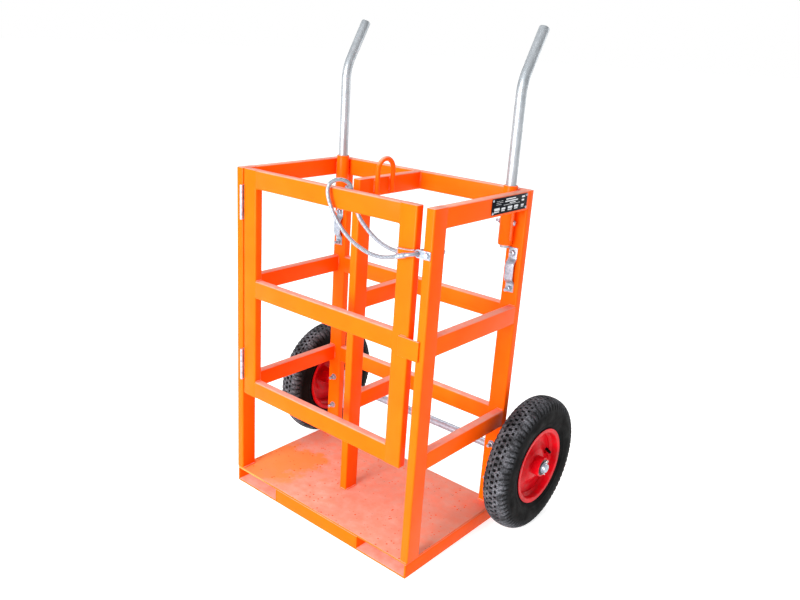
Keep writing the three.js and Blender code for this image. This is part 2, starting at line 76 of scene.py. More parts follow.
SIDES = (("left", -1), ("right", 1))
print("the front faces of the posts are at y =", round(FRONT, 5))

# %% [markdown]
# ## Camera
# The trolley is seen from its front right corner, from a little above the top of the cage. The
# camera's three axes are given outright, because a camera held by hand is rarely level,
# and the small roll shows in the posts. The shift moves the trolley in the frame.

# %% Camera
CAMERA_PLACE = Vector((1.35474, -1.70598, 1.32276))
CAMERA_RIGHT = Vector((0.73667691, 0.67461262, 0.04695685))
CAMERA_UP = Vector((-0.25519236, 0.2130227, 0.94313212))
CAMERA_BACK = Vector((0.62624595, -0.70676668, 0.32908489))
LENS, SENSOR, SHIFT = 35.49, 36, (0.0524, 0.0159)

camera_data = bpy.data.cameras.new("camera")
camera_data.lens = LENS
camera_data.sensor_width = SENSOR
camera_data.shift_x, camera_data.shift_y = SHIFT
camera = bpy.data.objects.new("camera", camera_data)
bpy.context.scene.collection.objects.link(camera)
axes = Matrix((CAMERA_RIGHT, CAMERA_UP, CAMERA_BACK)).transposed()
camera.matrix_world = Matrix.Translation(CAMERA_PLACE) @ axes.to_4x4()
bpy.context.scene.camera = camera
print("camera at", tuple(CAMERA_PLACE))


# %% [markdown]
# ## Turning a bmesh into a piece
# Every piece goes through one function. It merges doubled points, turns the faces outwards, makes
# shallow edges smooth and keeps sharp ones sharp, and says which body the piece rides on, which
# finish it takes and which CAD nodes it stands for.

# %% Make a piece
SMOOTH_UP_TO = math.radians(38)
MERGE = 1e-6


def make_piece(bm, name, finish, body, *stands_for):
    """Ends a mesh as a named object that rides on a body and stands for CAD nodes."""
    bmesh.ops.remove_doubles(bm, verts=bm.verts, dist=MERGE)
    bmesh.ops.recalc_face_normals(bm, faces=bm.faces)
    mesh = bpy.data.meshes.new(name)
    bm.to_mesh(mesh)
    bm.free()
    mesh.shade_smooth()
    mesh.set_sharp_from_angle(angle=SMOOTH_UP_TO)
    mesh.materials.append(finish)
    piece = bpy.data.objects.new(name, mesh)
    bpy.context.scene.collection.objects.link(piece)
    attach(piece, body)
    if stands_for:
        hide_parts(*stands_for)
    print(f"{name}: {len(mesh.polygons)} faces on {body}")
    return piece


# %% [markdown]
# ## Sweeping a round bar along a line
# The rope, the lifting eye, the handles, the weld beads and the split pins are all a ring carried
# along a line. A frame is kept at each point, turned by the least amount from the one before, so
# the ring doesn't twist. The ring is extruded from frame to frame, and its own size at each step
# gives ripples, tapers and an open pipe's mouth.

# %% Frames along a line and the sweep
def frames_along(points):
    """A frame at each point whose Z axis runs along the line."""
    count = len(points)
    tangents = [
        (points[min(i + 1, count - 1)] - points[max(i - 1, 0)]).normalized() for i in range(count)
    ]
    turn = tangents[0].to_track_quat("Z", "Y")
    frames = []
    for i, point in enumerate(points):
        if i:
            turn = tangents[i - 1].rotation_difference(tangents[i]) @ turn
        frames.append(Matrix.Translation(point) @ turn.to_matrix().to_4x4())
    return frames


def sweep(bm, frames, radii, sides, capped=True):
    """Extrudes a ring from frame to frame and returns the rings' points."""
    sized = [f @ Matrix.Diagonal((r, r, 1, 1)) for f, r in zip(frames, radii)]
    made = bmesh.ops.create_circle(bm, segments=sides, radius=1, matrix=sized[0])
    ring = made["verts"]
    edges = list({e for v in ring for e in v.link_edges})
    first = edges
    rings = [ring]
    for before, after in zip(sized, sized[1:]):
        grown = bmesh.ops.extrude_edge_only(bm, edges=edges)["geom"]
        ring = [g for g in grown if isinstance(g, bmesh.types.BMVert)]
        fresh = set(ring)
        edges = [g for g in grown if isinstance(g, bmesh.types.BMEdge)
                 and all(v in fresh for v in g.verts)]
        bmesh.ops.transform(bm, verts=ring, matrix=after @ before.inverted())
        rings.append(ring)
    if capped:
        bmesh.ops.edgeloop_fill(bm, edges=first)
        bmesh.ops.edgeloop_fill(bm, edges=edges)
    return rings


def catmull(points, per_span):
    """A smooth line through the points."""
    padded = [2 * points[0] - points[1], *points, 2 * points[-1] - points[-2]]
    line = []
    for a, b, c, d in zip(padded, padded[1:], padded[2:], padded[3:]):
        for k in range(per_span):
            t = k / per_span
            line.append(
                0.5 * (2 * b + (c - a) * t + (2 * a - 5 * b + 4 * c - d) * t**2
                       + (3 * b - a - 3 * c + d) * t**3)
            )
    return [*line, points[-1]]


print("sweep ready")

# %% [markdown]
# ## Building blocks for finishes
# Every finish is made of a few node steps: noise in the piece's own place, a curve of colours over
# it, a mix of two colours, and a bump. They are written once here. The noise reads Object
# coordinates, which for these pieces are metres in the row frame, so a scale of 1000 gives grain
# about a millimetre across.

# %% Node steps
class Finish:
    """A material under construction, with its surface shader."""

    def __init__(self, name, slot=None, **uniform):
        self.material = bpy.data.materials.new(name)
        self.material.use_nodes = True
        self.tree = self.material.node_tree
        self.surface = self.tree.nodes["Principled BSDF"]
        for socket, value in uniform.items():
            self.surface.inputs[socket.replace("_", " ")].default_value = value
        self.places = self.node("ShaderNodeTexCoord").outputs["Object"]
        self.relief = None

    def node(self, kind, **settings):
        made = self.tree.nodes.new(kind)
        for setting, value in settings.items():
            setattr(made, setting, value)
        return made

    def put(self, socket, value):
        """Links a value that is another node's output, and sets any other."""
        if isinstance(value, bpy.types.NodeSocket):
            self.tree.links.new(value, socket)
        else:
            socket.default_value = value

    def fill(self, made, **inputs):
        for socket, value in inputs.items():
            self.put(made.inputs[socket.replace("_", " ")], value)
        return made

    def stretched(self, x, y, z):
        made = self.node("ShaderNodeMapping")
        self.fill(made, Vector=self.places, Scale=(x, y, z))
        return made.outputs["Vector"]

    def noise(self, scale, detail=3.0, roughness=0.55, vector=None):
        made = self.node("ShaderNodeTexNoise")
        self.fill(made, Vector=vector or self.places, Scale=scale, Detail=detail,
                  Roughness=roughness)
        return made.outputs["Fac"]

    def cells(self, scale, vector=None, output="Distance"):
        made = self.node("ShaderNodeTexVoronoi")
        self.fill(made, Vector=vector or self.places, Scale=scale)
        return made.outputs[output]

    def steps(self, factor, stops):
        made = self.node("ShaderNodeValToRGB")
        self.tree.links.new(factor, made.inputs["Fac"])
        ramp = made.color_ramp
        while len(ramp.elements) < len(stops):
            ramp.elements.new(0.5)
        for element, (position, colour) in zip(ramp.elements, stops):
            element.position = position
            grey = isinstance(colour, (int, float))
            element.color = (colour, colour, colour, 1) if grey else (*colour, 1)
        return made.outputs["Color"]

    def mix(self, factor, under, over):
        made = self.node("ShaderNodeMix", data_type="RGBA")
        for index, value in ((0, factor), (6, under), (7, over)):
            self.put(made.inputs[index], (*value, 1) if isinstance(value, tuple) else value)
        return made.outputs[2]

    def times(self, first, second):
        made = self.node("ShaderNodeMath", operation="MULTIPLY")
        for socket, value in zip(made.inputs, (first, second)):
            self.put(socket, value)
        return made.outputs[0]

    def patchy(self, under, over, source, start, end, share=1.0):
        """Lays a colour over another where a noise or a cell pattern passes from start to end."""
        return self.mix(self.steps(source, ((start, 0.0), (end, share))), under, over)

    def facing_up(self, start, end):
        """How level a surface is: 0 on a wall, 1 on a shelf."""
        normal = self.node("ShaderNodeNewGeometry").outputs["Normal"]
        split = self.node("ShaderNodeSeparateXYZ")
        self.tree.links.new(normal, split.inputs[0])
        made = self.node("ShaderNodeMapRange")
        self.fill(made, Value=split.outputs["Z"], From_Min=start, From_Max=end)
        return made.outputs["Result"]

    def bump(self, height, depth, strength=1.0):
        made = self.node("ShaderNodeBump")
        self.fill(made, Height=height, Distance=depth, Strength=strength)
        if self.relief is not None:
            self.tree.links.new(self.relief, made.inputs["Normal"])
        self.relief = made.outputs["Normal"]

    def done(self, colour, roughness=None):
        links = (("Base Color", colour), ("Roughness", roughness), ("Normal", self.relief))
        for socket, source in links:
            if source is not None:
                self.tree.links.new(source, self.surface.inputs[socket])
        print("finish", self.material.name, "with", len(self.tree.nodes), "nodes")
        return self.material


# %% [markdown]
# ## The retaining rope
# A loop of steel rope in a clear grey sleeve is threaded through the eye on the right front post
# and hangs over the top rail of the gate, with both its ends crimped in one ferrule. It is 10 mm
# thick and as long as the drawing's route, about 0.77 m. It is swept as a mesh with a UV that runs
# round and along, so the lay of the strands can follow it.

# %% Rope route
ROPE_RADIUS = 0.005
ROPE_ROUTE = [
    at(*place)
    for place in (
        (259, -25.0, 856), (251, -24.8, 853.4), (236, -21.0, 848), (205, -16.0, 841),
        (170, -13.5, 841), (138, -12.5, 848), (106, -12.0, 861), (76, -12.0, 881),
        (50, -12.5, 908), (31, -13.0, 938), (22, -13.0, 966), (24, -9.0, 984),
        (33, 3.0, 994), (44, 18.0, 994), (53, 30.0, 985), (59, 35.5, 966),
        (68, 37.0, 941), (80, 36.0, 915), (99, 35.0, 895), (127, 35.0, 874),
        (160, 36.0, 857), (195, 38.0, 848), (230, 40.5, 848), (262, 42.5, 855),
        (284, 42.0, 863), (297, 35.0, 867), (303, 22.0, 868), (303, 8.0, 868),
        (303, -5.0, 868), (301, -15.0, 868), (294.5, -22.0, 867.2), (287, -24.8, 865.1),
        (283, -25.0, 863.8),
    )
]
rope_line = catmull(ROPE_ROUTE, 8)
rope_length = sum((b - a).length for a, b in zip(rope_line, rope_line[1:]))
print("rope points", len(rope_line), "length", round(rope_length, 4))

# %% Rope sleeve finish
STRANDS = 6


def sleeve_finish():
    made = Finish("rope_sleeve", "cable_sleeve", IOR=1.5, Metallic=0.2, Specular_IOR_Level=0.35,
                  Coat_Weight=0.25, Coat_Roughness=0.1)
    uv = made.node("ShaderNodeUVMap", uv_map="lay").outputs["UV"]
    twisted = made.node("ShaderNodeMapping")
    made.fill(twisted, Vector=uv, Rotation=(0, 0, math.radians(28)), Scale=(STRANDS, 1, 1))
    lay = made.node("ShaderNodeTexWave", wave_type="BANDS", bands_direction="X")
    made.fill(lay, Vector=twisted.outputs["Vector"], Scale=0.55, Distortion=0.6, Detail=1.0)
    strands = lay.outputs["Fac"]
    grime = made.noise(90, 5)
    colour = made.steps(strands, ((0.05, (0.11, 0.122, 0.148)), (0.85, (0.31, 0.335, 0.38))))
    colour = made.patchy(colour, (0.10, 0.10, 0.105), grime, 0.48, 0.72, 0.55)
    rough = made.steps(grime, ((0.3, 0.26), (0.8, 0.5)))
    made.bump(strands, 0.0004, 0.7)
    made.bump(made.noise(900, 2), 0.0001, 0.4)
    return made.done(colour, rough)


rope_sleeve = sleeve_finish()


# %% Rope
def lay_uv(bm, frames, rings, line):
    """Gives a swept tube a UV: turns round it, and centimetres along it."""
    along, total = [0.0], 0.0
    for a, b in zip(line, line[1:]):
        total += (b - a).length
        along.append(total)
    spot = {}
    for frame_here, ring, distance in zip(frames, rings, along):
        back = frame_here.inverted()
        for vert in ring:
            local = back @ vert.co
            spot[vert] = (math.atan2(local.y, local.x) / math.tau % 1.0, distance * 100)
    layer = bm.loops.layers.uv.new("lay")
    for face in bm.faces:
        wraps = max(spot[v][0] for v in face.verts) - min(spot[v][0] for v in face.verts) > 0.5
        for loop in face.loops:
            u, v = spot[loop.vert]
            loop[layer].uv = (u + 1 if wraps and u < 0.5 else u, v)


rope_frames = frames_along(rope_line)
rope_mesh = bmesh.new()
rope_rings = sweep(rope_mesh, rope_frames, [ROPE_RADIUS] * len(rope_line), 20)
lay_uv(rope_mesh, rope_frames, rope_rings, rope_line)
rope = make_piece(rope_mesh, "rope", rope_sleeve, "cable", "retaining_cable")


# %% [markdown]
# ## Metals
# Zinc plate is a bright bluish grey that goes cloudy, with small dull spots where it has begun to
# weep. Hot-dip galvanising on the handles is coarser: its crystals show as large pale flakes, and
# it is rougher. The split pins are bare steel, and the bearings are near black. All four are
# one idea with different grain: cells or noise drive a small change of colour and roughness.

# %% Metal finishes
def zinc_finish():
    made = Finish("zinc_plate", Metallic=0.6, IOR=1.5)
    cloud = made.noise(120, 5)
    spots = made.noise(700, 3)
    colour = made.steps(cloud, ((0.3, (0.23, 0.27, 0.33)), (0.7, (0.46, 0.52, 0.60))))
    colour = made.patchy(colour, (0.12, 0.125, 0.13), spots, 0.60, 0.72, 0.35)
    rough = made.steps(cloud, ((0.3, 0.44), (0.7, 0.26)))
    made.bump(made.noise(1600, 2), 0.00008, 0.5)
    return made.done(colour, rough)


def galvanised_finish():
    made = Finish("galvanised_tube", Metallic=0.65, IOR=1.5)
    long_grain = made.stretched(1, 1, 0.35)
    flakes = made.cells(160, long_grain, output="Color")
    cloud = made.noise(26, 6, vector=long_grain)
    colour = made.steps(cloud, ((0.30, (0.25, 0.275, 0.295)), (0.70, (0.36, 0.385, 0.41))))
    colour = made.patchy(colour, (0.46, 0.49, 0.52), flakes, 0.15, 0.85, 0.32)
    colour = made.patchy(colour, (0.26, 0.265, 0.27), made.noise(55, 4), 0.56, 0.75, 0.5)
    rough = made.steps(cloud, ((0.3, 0.48), (0.7, 0.33)))
    made.bump(made.noise(420, 3), 0.00015, 0.5)
    made.bump(made.noise(60, 2), 0.0004, 0.25)
    made.bump(flakes, 0.00006, 0.4)
    return made.done(colour, rough)


def dark_steel_finish():
    made = Finish("dark_steel", "bright_steel", Metallic=0.5, IOR=1.5)
    mottle = made.noise(160, 5)
    colour = made.steps(mottle, ((0.35, (0.012, 0.012, 0.013)), (0.7, (0.06, 0.058, 0.055))))
    rough = made.steps(mottle, ((0.3, 0.30), (0.7, 0.55)))
    made.bump(mottle, 0.0002, 0.4)
    return made.done(colour, rough)


def steel_finish():
    made = Finish("bright_steel", Metallic=0.95, IOR=1.5)
    grain = made.noise(300, 4, vector=made.stretched(0.2, 1, 1))
    colour = made.steps(grain, ((0.3, (0.42, 0.42, 0.42)), (0.7, (0.62, 0.62, 0.61))))
    colour = made.patchy(colour, (0.16, 0.08, 0.04), made.noise(180, 5), 0.62, 0.78, 0.7)
    rough = made.steps(grain, ((0.3, 0.36), (0.7, 0.22)))
    made.bump(grain, 0.0001, 0.4)
    return made.done(colour, rough)


zinc_plate, galvanised_tube = zinc_finish(), galvanised_finish()
bright_steel, dark_steel = steel_finish(), dark_steel_finish()

# %% Ferrule
CRIMP_STEPS = 44
CRIMP_RADIUS = 0.0068
OVERLAP = 0.001
crimp_run = ROPE_ROUTE[0] - ROPE_ROUTE[-1]
crimp_start = ROPE_ROUTE[-1] - crimp_run.normalized() * OVERLAP
crimp_end = ROPE_ROUTE[0] + crimp_run.normalized() * OVERLAP
shares = [i / CRIMP_STEPS for i in range(CRIMP_STEPS + 1)]


def crimp_radius(share):
    """Thick collars with three pressed bands between them."""
    ends = min(share, 1 - share)
    lip = min(1.0, 0.62 + ends * 9)
    band = 0.5 + 0.5 * math.cos(share * 3 * math.tau)
    return CRIMP_RADIUS * lip * (1 - 0.14 * (1 - band) * (ends > 0.1))


ferrule_mesh = bmesh.new()
crimp_frames = frames_along([crimp_start.lerp(crimp_end, share) for share in shares])
sweep(ferrule_mesh, crimp_frames, [crimp_radius(share) for share in shares], 24)
ferrule = make_piece(ferrule_mesh, "rope_ferrule", zinc_plate, "cable", "cable_ferrule")
tuple(ROPE_ROUTE[0])
[tuple(p) for p in rope_line]

# %% [markdown]
# The core's cut end is left long: bare wire that runs from the eye across the gate's stile, just
# clear of it. It is a thin swept bar that lifts with the loop.

# %% Bare tail
TAIL_RADIUS = 0.0021
TAIL_ROUTE = ((243, -3.2, 869.6), (262, -5.5, 871), (282, -7.5, 873), (296, -8.2, 875.5))
tail_line = catmull([at(*place) for place in TAIL_ROUTE], 6)
tail_mesh = bmesh.new()
sweep(tail_mesh, frames_along(tail_line), [TAIL_RADIUS] * len(tail_line), 12)
make_piece(tail_mesh, "rope_tail", bright_steel, "cable")

# %% [markdown]
# ## Floor and light
# The trolley stands on a plain pale floor under soft studio light. The whole room is a white
# glow, which keeps shadows soft and gives the level faces their pale sheen. A wide lamp stands in
# front, so that faces towards the gate are far brighter than those to the right.
# A painter's clear tones suit a cage of one strong colour, so the view is set to Standard.

# %% Floor, world and lamps
FLOOR_REACH = 60
floor_mesh = bmesh.new()
bmesh.ops.create_grid(floor_mesh, x_segments=1, y_segments=1, size=FLOOR_REACH)
floor_data = bpy.data.meshes.new("floor")
floor_mesh.to_mesh(floor_data)
floor_mesh.free()
floor = bpy.data.objects.new("floor", floor_data)
bpy.context.scene.collection.objects.link(floor)
floor_finish = Finish("pale_floor", Roughness=0.9, Specular_IOR_Level=0.1,
                      Emission_Color=(1, 1, 1, 1), Emission_Strength=0.62)
floor_tones = ((0.3, (0.76, 0.76, 0.76)), (0.7, (0.80, 0.80, 0.80)))
floor_data.materials.append(
    floor_finish.done(floor_finish.steps(floor_finish.noise(3, 3), floor_tones))
)

world = bpy.data.worlds.new("studio")
bpy.context.scene.world = world
world.use_nodes = True
glow = world.node_tree.nodes["Background"]
glow.inputs["Color"].default_value = (1.0, 1.0, 1.0, 1)
DIM_TOWARDS = (0.72, 0.69, 0.0)
FALL = {"From Min": -0.2, "From Max": 0.8, "To Min": 0.66, "To Max": 0.42}


def studio_nodes(tree):
    """A white backdrop that lights the scene more softly, and least from behind on the right."""
    place = tree.nodes.new("ShaderNodeTexCoord").outputs["Generated"]
    towards = tree.nodes.new("ShaderNodeVectorMath")
    towards.operation = "DOT_PRODUCT"
    towards.inputs[1].default_value = DIM_TOWARDS
    tree.links.new(place, towards.inputs[0])
    light = tree.nodes.new("ShaderNodeMapRange")
    for socket, value in FALL.items():
        light.inputs[socket].default_value = value
    tree.links.new(towards.outputs["Value"], light.inputs["Value"])
    seen = tree.nodes.new("ShaderNodeLightPath").outputs["Is Camera Ray"]
    brighter = tree.nodes.new("ShaderNodeMath")
    brighter.operation = "MAXIMUM"
    tree.links.new(light.outputs["Result"], brighter.inputs[0])
    tree.links.new(seen, brighter.inputs[1])
    tree.links.new(brighter.outputs[0], glow.inputs["Strength"])


studio_nodes(world.node_tree)
bpy.context.scene.view_settings.view_transform = "Standard"


def lamp(name, place, target, size, power):
    """A square soft lamp that looks at a point."""
    data = bpy.data.lights.new(name, "AREA")
    data.shape = "SQUARE"
    data.size = size
    data.energy = power
    light = bpy.data.objects.new(name, data)
    light.location = place
    light.rotation_mode = "QUATERNION"
    light.rotation_quaternion = (Vector(target) - Vector(place)).to_track_quat("-Z", "Y")
    bpy.context.scene.collection.objects.link(light)
    print("lamp", name, power, "W")


# place, what it looks at, size in metres and watts
lamp("front_lamp", (0.1, -8.0, 2.0), (0, 0, 0.6), 3.4, 1280)
lamp("high_lamp", (-1.0, 1.6, 4.2), (0, 0, 0.5), 2.5, 70)
lamp("rear_lamp", (1.6, 3.9, 1.6), (0, 0, 0.6), 2.0, 40)

# %% [markdown]
# ## Orange paint
# The cage is sprayed a deep glossy orange. A sprayed coat has a fine orange-peel ripple, faint
# cloudy patches where it went on thinner, and on level faces only a pale layer of settled dust
# with painted sheen. Small chips show dark primer. The deck takes the same paint, but feet and
# bottles have scuffed it, so its version has more dust and painted sheen, rubbed marks and
# scratches.

# %% Orange paint
ORANGE = (0.98, 0.102, 0.0015)
ORANGE_THIN = (0.96, 0.094, 0.001)
ORANGE_RICH = (1.0, 0.110, 0.002)
CHIP = (0.13, 0.06, 0.035)
# pale colour for level faces: settled dust with a painted sheen of the white room
DUST_AND_SHEEN = (0.70, 0.43, 0.36)
WIPED_PLACE, WIPED_RADIUS = (-0.245, -0.175, 0.046), 0.17
# the deck's level colour: trodden dirt with the same painted sheen
TRODDEN_DUST_AND_SHEEN = (0.72, 0.36, 0.28)
WIPED = (0.88, 0.24, 0.045)


def wiped_patch(made):
    """Where a bottle's foot has wiped the deck nearly clean: 1 in the patch, 0 elsewhere."""
    place = made.node("ShaderNodeMapping")
    reach = 1 / WIPED_RADIUS
    made.fill(place, Vector=made.places, Scale=(reach, reach, reach),
              Location=tuple(-reach * c for c in WIPED_PLACE))
    ragged = made.node("ShaderNodeVectorMath", operation="ADD")
    made.tree.links.new(place.outputs["Vector"], ragged.inputs[0])
    made.tree.links.new(made.steps(made.noise(16, 5), ((0.3, 0.0), (0.7, 0.5))), ragged.inputs[1])
    spot = made.node("ShaderNodeTexGradient", gradient_type="SPHERICAL")
    made.fill(spot, Vector=ragged.outputs["Vector"])
    return made.steps(spot.outputs["Fac"], ((0.04, 0.0), (0.3, 0.85)))


def orange_finish(name, dust, dust_and_sheen_share, scuffs):
    made = Finish(name, "orange_paint", IOR=1.5, Specular_IOR_Level=0.05)
    cloud = made.noise(14, 5)
    colour = made.steps(cloud, ((0.28, ORANGE_THIN), (0.5, ORANGE), (0.74, ORANGE_RICH)))
    # Level faces get a pale layer that is part settled dust and part painted sheen of the white
    # room.
    level = made.facing_up(0.35, 0.95)
    dust_and_sheen_patches = made.steps(made.noise(34, 6, 0.65), ((0.35, 0.62), (0.7, 1.0)))
    layer = made.times(made.times(level, dust_and_sheen_patches), dust_and_sheen_share)
    colour = made.mix(layer, colour, dust)
    if scuffs:
        colour = made.mix(wiped_patch(made), colour, WIPED)
        colour = made.patchy(colour, (0.50, 0.19, 0.13), made.noise(5, 6, 0.7), 0.42, 0.64, 0.35)
        marks = made.noise(60, 8, 0.75, made.stretched(1, 0.08, 1))
        colour = made.patchy(colour, (0.55, 0.30, 0.23), marks, 0.63, 0.70, 0.3)
        flecks = made.steps(made.cells(75), ((0.16, 0.9), (0.24, 0.0)))
        thinned = made.steps(made.noise(30, 3), ((0.5, 0.0), (0.56, 1.0)))
        colour = made.mix(made.times(flecks, thinned), colour, (0.80, 0.085, 0.012))
        crumbs = made.steps(made.cells(88), ((0.09, 0.85), (0.14, 0.0)))
        sparse = made.steps(made.noise(23, 3), ((0.5, 0.0), (0.56, 1.0)))
        colour = made.mix(made.times(crumbs, sparse), colour, (0.20, 0.11, 0.075))
    colour = made.patchy(colour, CHIP, made.noise(150, 7, 0.72), 0.735, 0.76)
    base_rough = made.steps(cloud, ((0.3, 0.38), (0.7, 0.28)))
    rough = made.mix(layer, base_rough, (0.75, 0.75, 0.75))
    made.bump(made.noise(230, 2), 0.00022, 0.35)
    made.bump(made.noise(520, 3, 0.7), 0.00005, 0.3)
    made.bump(made.noise(18, 2), 0.0009, 0.2)
    return made.done(colour, rough)


orange_paint = orange_finish("orange_paint", DUST_AND_SHEEN, 0.9, False)
deck_paint = orange_finish("deck_paint", TRODDEN_DUST_AND_SHEEN, 0.97, True)


# %% [markdown]
# ## Rectangular tube
# Cold-rolled 50 x 25 mm tube has rounded long edges. Each length is a cube scaled to its CAD box,
# with the four long edges rounded to a 4 mm radius and the ends eased. Rails are run a hair into
# the tubes that they are welded to, so no dark slit shows at a joint.

# %% Tubes
CORNER = 0.004
EASED = 0.0016
SKIM = 0.00004
TUCK = 0.0012
FAR = 1e-5


def block(bm, low, high):
    """A cube scaled to a box; returns its points."""
    middle, size = (low + high) / 2, high - low
    place = Matrix.Translation(middle) @ Matrix.Diagonal((*size, 1))
    return bmesh.ops.create_cube(bm, size=1, matrix=place)["verts"]


def round_edges(bm, edges, radius, segments):
    return bmesh.ops.bevel(
        bm, geom=edges, offset=radius, offset_type="OFFSET", segments=segments, profile=0.5,
        affect="EDGES", material=-1, clamp_overlap=True,
    )


def tube(bm, low, high, axis, corner=CORNER):
    """A closed length of tube along one axis, rounded and with eased ends."""
    verts = block(bm, low, high)
    edges = {e for v in verts for e in v.link_edges}
    long_edges = [e for e in edges if abs(e.verts[0].co[axis] - e.verts[1].co[axis]) > FAR]
    round_edges(bm, long_edges, corner, 5)
    for end in (low[axis], high[axis]):
        rim = [
            e for e in bm.edges
            if all(abs(v.co[axis] - end) < FAR for v in e.verts)
            and all(low[i] - FAR < v.co[i] < high[i] + FAR for v in e.verts for i in range(3))
        ]
        round_edges(bm, rim, EASED, 2)


LEVELS = ("low", "mid", "top")
RAILS = [
    f"side_rail_{side}_{level}" for side, _ in SIDES for level in LEVELS
] + [f"{kind}_rail_{level}" for kind in ("centre", "rear") for level in LEVELS]
GATE_RAILS = [f"gate_rail_{level}" for level in LEVELS]
UPRIGHTS = ["post_front_left", "post_front_right", "post_rear_left", "post_rear_right",
            "centre_post"]
STILES = ["gate_stile_hinge", "gate_stile_latch"]


def long_axis(low, high):
    size = high - low
    return max(range(3), key=lambda i: size[i])


for node in RAILS + GATE_RAILS + UPRIGHTS + STILES:
    low, high = (p.copy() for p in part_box(node))
    axis = long_axis(low, high)
    if node in RAILS + GATE_RAILS:
        low[axis] -= TUCK
        high[axis] += TUCK
    elif node in UPRIGHTS:
        low.z -= TUCK / 4
    tube_mesh = bmesh.new()
    tube(tube_mesh, low, high, axis)
    body = "gate" if node.startswith("gate") else "frame"
    make_piece(tube_mesh, f"{node}_tube", orange_paint, body, node)


# %% [markdown]
# ## Weld beads
# Every joint is welded all round, and the beads on flush faces are ground away before painting.
# So a bead is laid only along those sides of a rail's end where the other tube's face carries on
# past it. Each bead is a thin swept bar whose radius swells and shrinks, like overlapping coins.
# A little seeded scatter keeps the ripples from looking machined. Flush sides get a low filler.

# %% Beads
BEAD = 0.0027
RIPPLE = 0.0024
COIN, WANDER = 0.13, 0.08
BEAD_ROOM = 0.003
FLUSH = 0.001
random.seed(7)


def add_to(bm, part):
    """Adds a small finished mesh to a large one, which is quicker than working in the large one."""
    carried = bpy.data.meshes.new("carried")
    part.to_mesh(carried)
    part.free()
    bm.from_mesh(carried)
    bpy.data.meshes.remove(carried)


def bead(bm, start, end, radius=BEAD):
    length = (end - start).length
    steps = max(6, round(length / RIPPLE) * 3)
    drift = random.uniform(0, math.tau)
    points, radii = [], []
    for i in range(steps + 1):
        share = i / steps
        points.append(start.lerp(end, share))
        ends = min(1.0, 0.35 + 8 * min(share, 1 - share))
        ripple = 1 + COIN * math.sin(share * length / RIPPLE * math.tau + drift)
        wander = 1 + WANDER * math.sin(share * 9 + drift)
        radii.append(radius * ends * ripple * wander)
    one = bmesh.new()
    sweep(one, frames_along(points), radii, 8)
    add_to(bm, one)


def end_sides(member, neighbour, end):
    """The sides of a member's end: a line along each, and how far the neighbour goes on past it."""
    low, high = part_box(member)
    near_low, near_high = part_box(neighbour)
    axis = long_axis(low, high)
    first, last = Vector(), Vector()
    for i in (k for k in range(3) if k != axis):
        j = 3 - axis - i
        first[axis] = last[axis] = (low if end == "low" else high)[axis]
        first[j], last[j] = max(low[j], near_low[j]), min(high[j], near_high[j])
        for face, other, sign in ((low[i], near_low[i], -1), (high[i], near_high[i], 1)):
            first[i] = last[i] = face
            yield first.copy(), last.copy(), (axis, i, j), sign, (other - face) * sign


def joint_beads(bm, *joint):
    """Beads round one end of a member, on the sides where the neighbour's face goes on."""
    laid = 0
    for first, last, (_, _, along), _, past in end_sides(*joint):
        if past >= BEAD_ROOM:
            first[along] += CORNER / 2
            last[along] -= CORNER / 2
            bead(bm, first, last)
            laid += 1
    return laid


def ground_joint(bm, *joint):
    """Weld metal ground flush, in the groove that two tubes' round edges leave at a joint."""
    for first, last, (axis, across, along), sign, past in end_sides(*joint):
        if abs(past) <= FLUSH:
            first[axis] -= CORNER
            last[axis] += CORNER
            depths = (first[across] - sign * SKIM, first[across] - sign * CORNER)
            first[across], last[across] = sorted(depths)
            first[along] += CORNER * 0.6
            last[along] -= CORNER * 0.6
            block(bm, first, last)


frame_joints = []
for side, _ in SIDES:
    for level in LEVELS:
        rail = f"side_rail_{side}_{level}"
        frame_joints += [(rail, f"post_front_{side}", "low"), (rail, f"post_rear_{side}", "high")]
for level in LEVELS:
    rear, centre = f"rear_rail_{level}", f"centre_rail_{level}"
    frame_joints += [(rear, "post_rear_left", "low"), (rear, "post_rear_right", "high"),
                     (centre, "centre_post", "low"), (centre, rear, "high")]
foot_joints = [(post, "deck_plate", "low") for post in UPRIGHTS]
weld_mesh = bmesh.new()
count = sum(joint_beads(weld_mesh, *joint) for joint in frame_joints + foot_joints)
print("beads on the cage", count)

for joint in frame_joints:
    ground_joint(weld_mesh, *joint)

gate_mesh = bmesh.new()
for rail in GATE_RAILS:
    for stile, end in (("gate_stile_hinge", "low"), ("gate_stile_latch", "high")):
        joint_beads(gate_mesh, rail, stile, end)
        ground_joint(gate_mesh, rail, stile, end)

# %% [markdown]
# The two socket tubes, the lifting eye and the gate's stop plate are welded on as well. Their
# beads run down both sides where they touch, and join the same two weld pieces.

# %% More beads
for side, sign in SIDES:
    low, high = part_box(f"handle_socket_{side}")
    middle = middle_of(f"handle_socket_{side}")
    post_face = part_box(f"side_rail_{side}_top")[0 if sign > 0 else 1].x
    rear_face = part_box("rear_rail_top")[0].y
    for x, y in ((post_face - sign * 0.0006, middle.y - 0.0055),
                 (middle.x - sign * 0.0055, rear_face - 0.0006)):
        bead(weld_mesh, Vector((x, y, low.z + 0.004)), Vector((x, y, high.z - 0.014)), 0.0032)

eye_low, eye_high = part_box("lifting_eye")
eye_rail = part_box("centre_rail_top")[1]
EYE_BAR = 0.0065
for leg in (eye_low.y + EYE_BAR, eye_high.y - EYE_BAR):
    for side in (-1, 1):
        start = Vector((eye_rail.x + 0.001, leg + side * 0.0052, eye_low.z + 0.002))
        bead(weld_mesh, start, Vector((start.x, start.y, eye_rail.z - 0.003)), 0.0028)

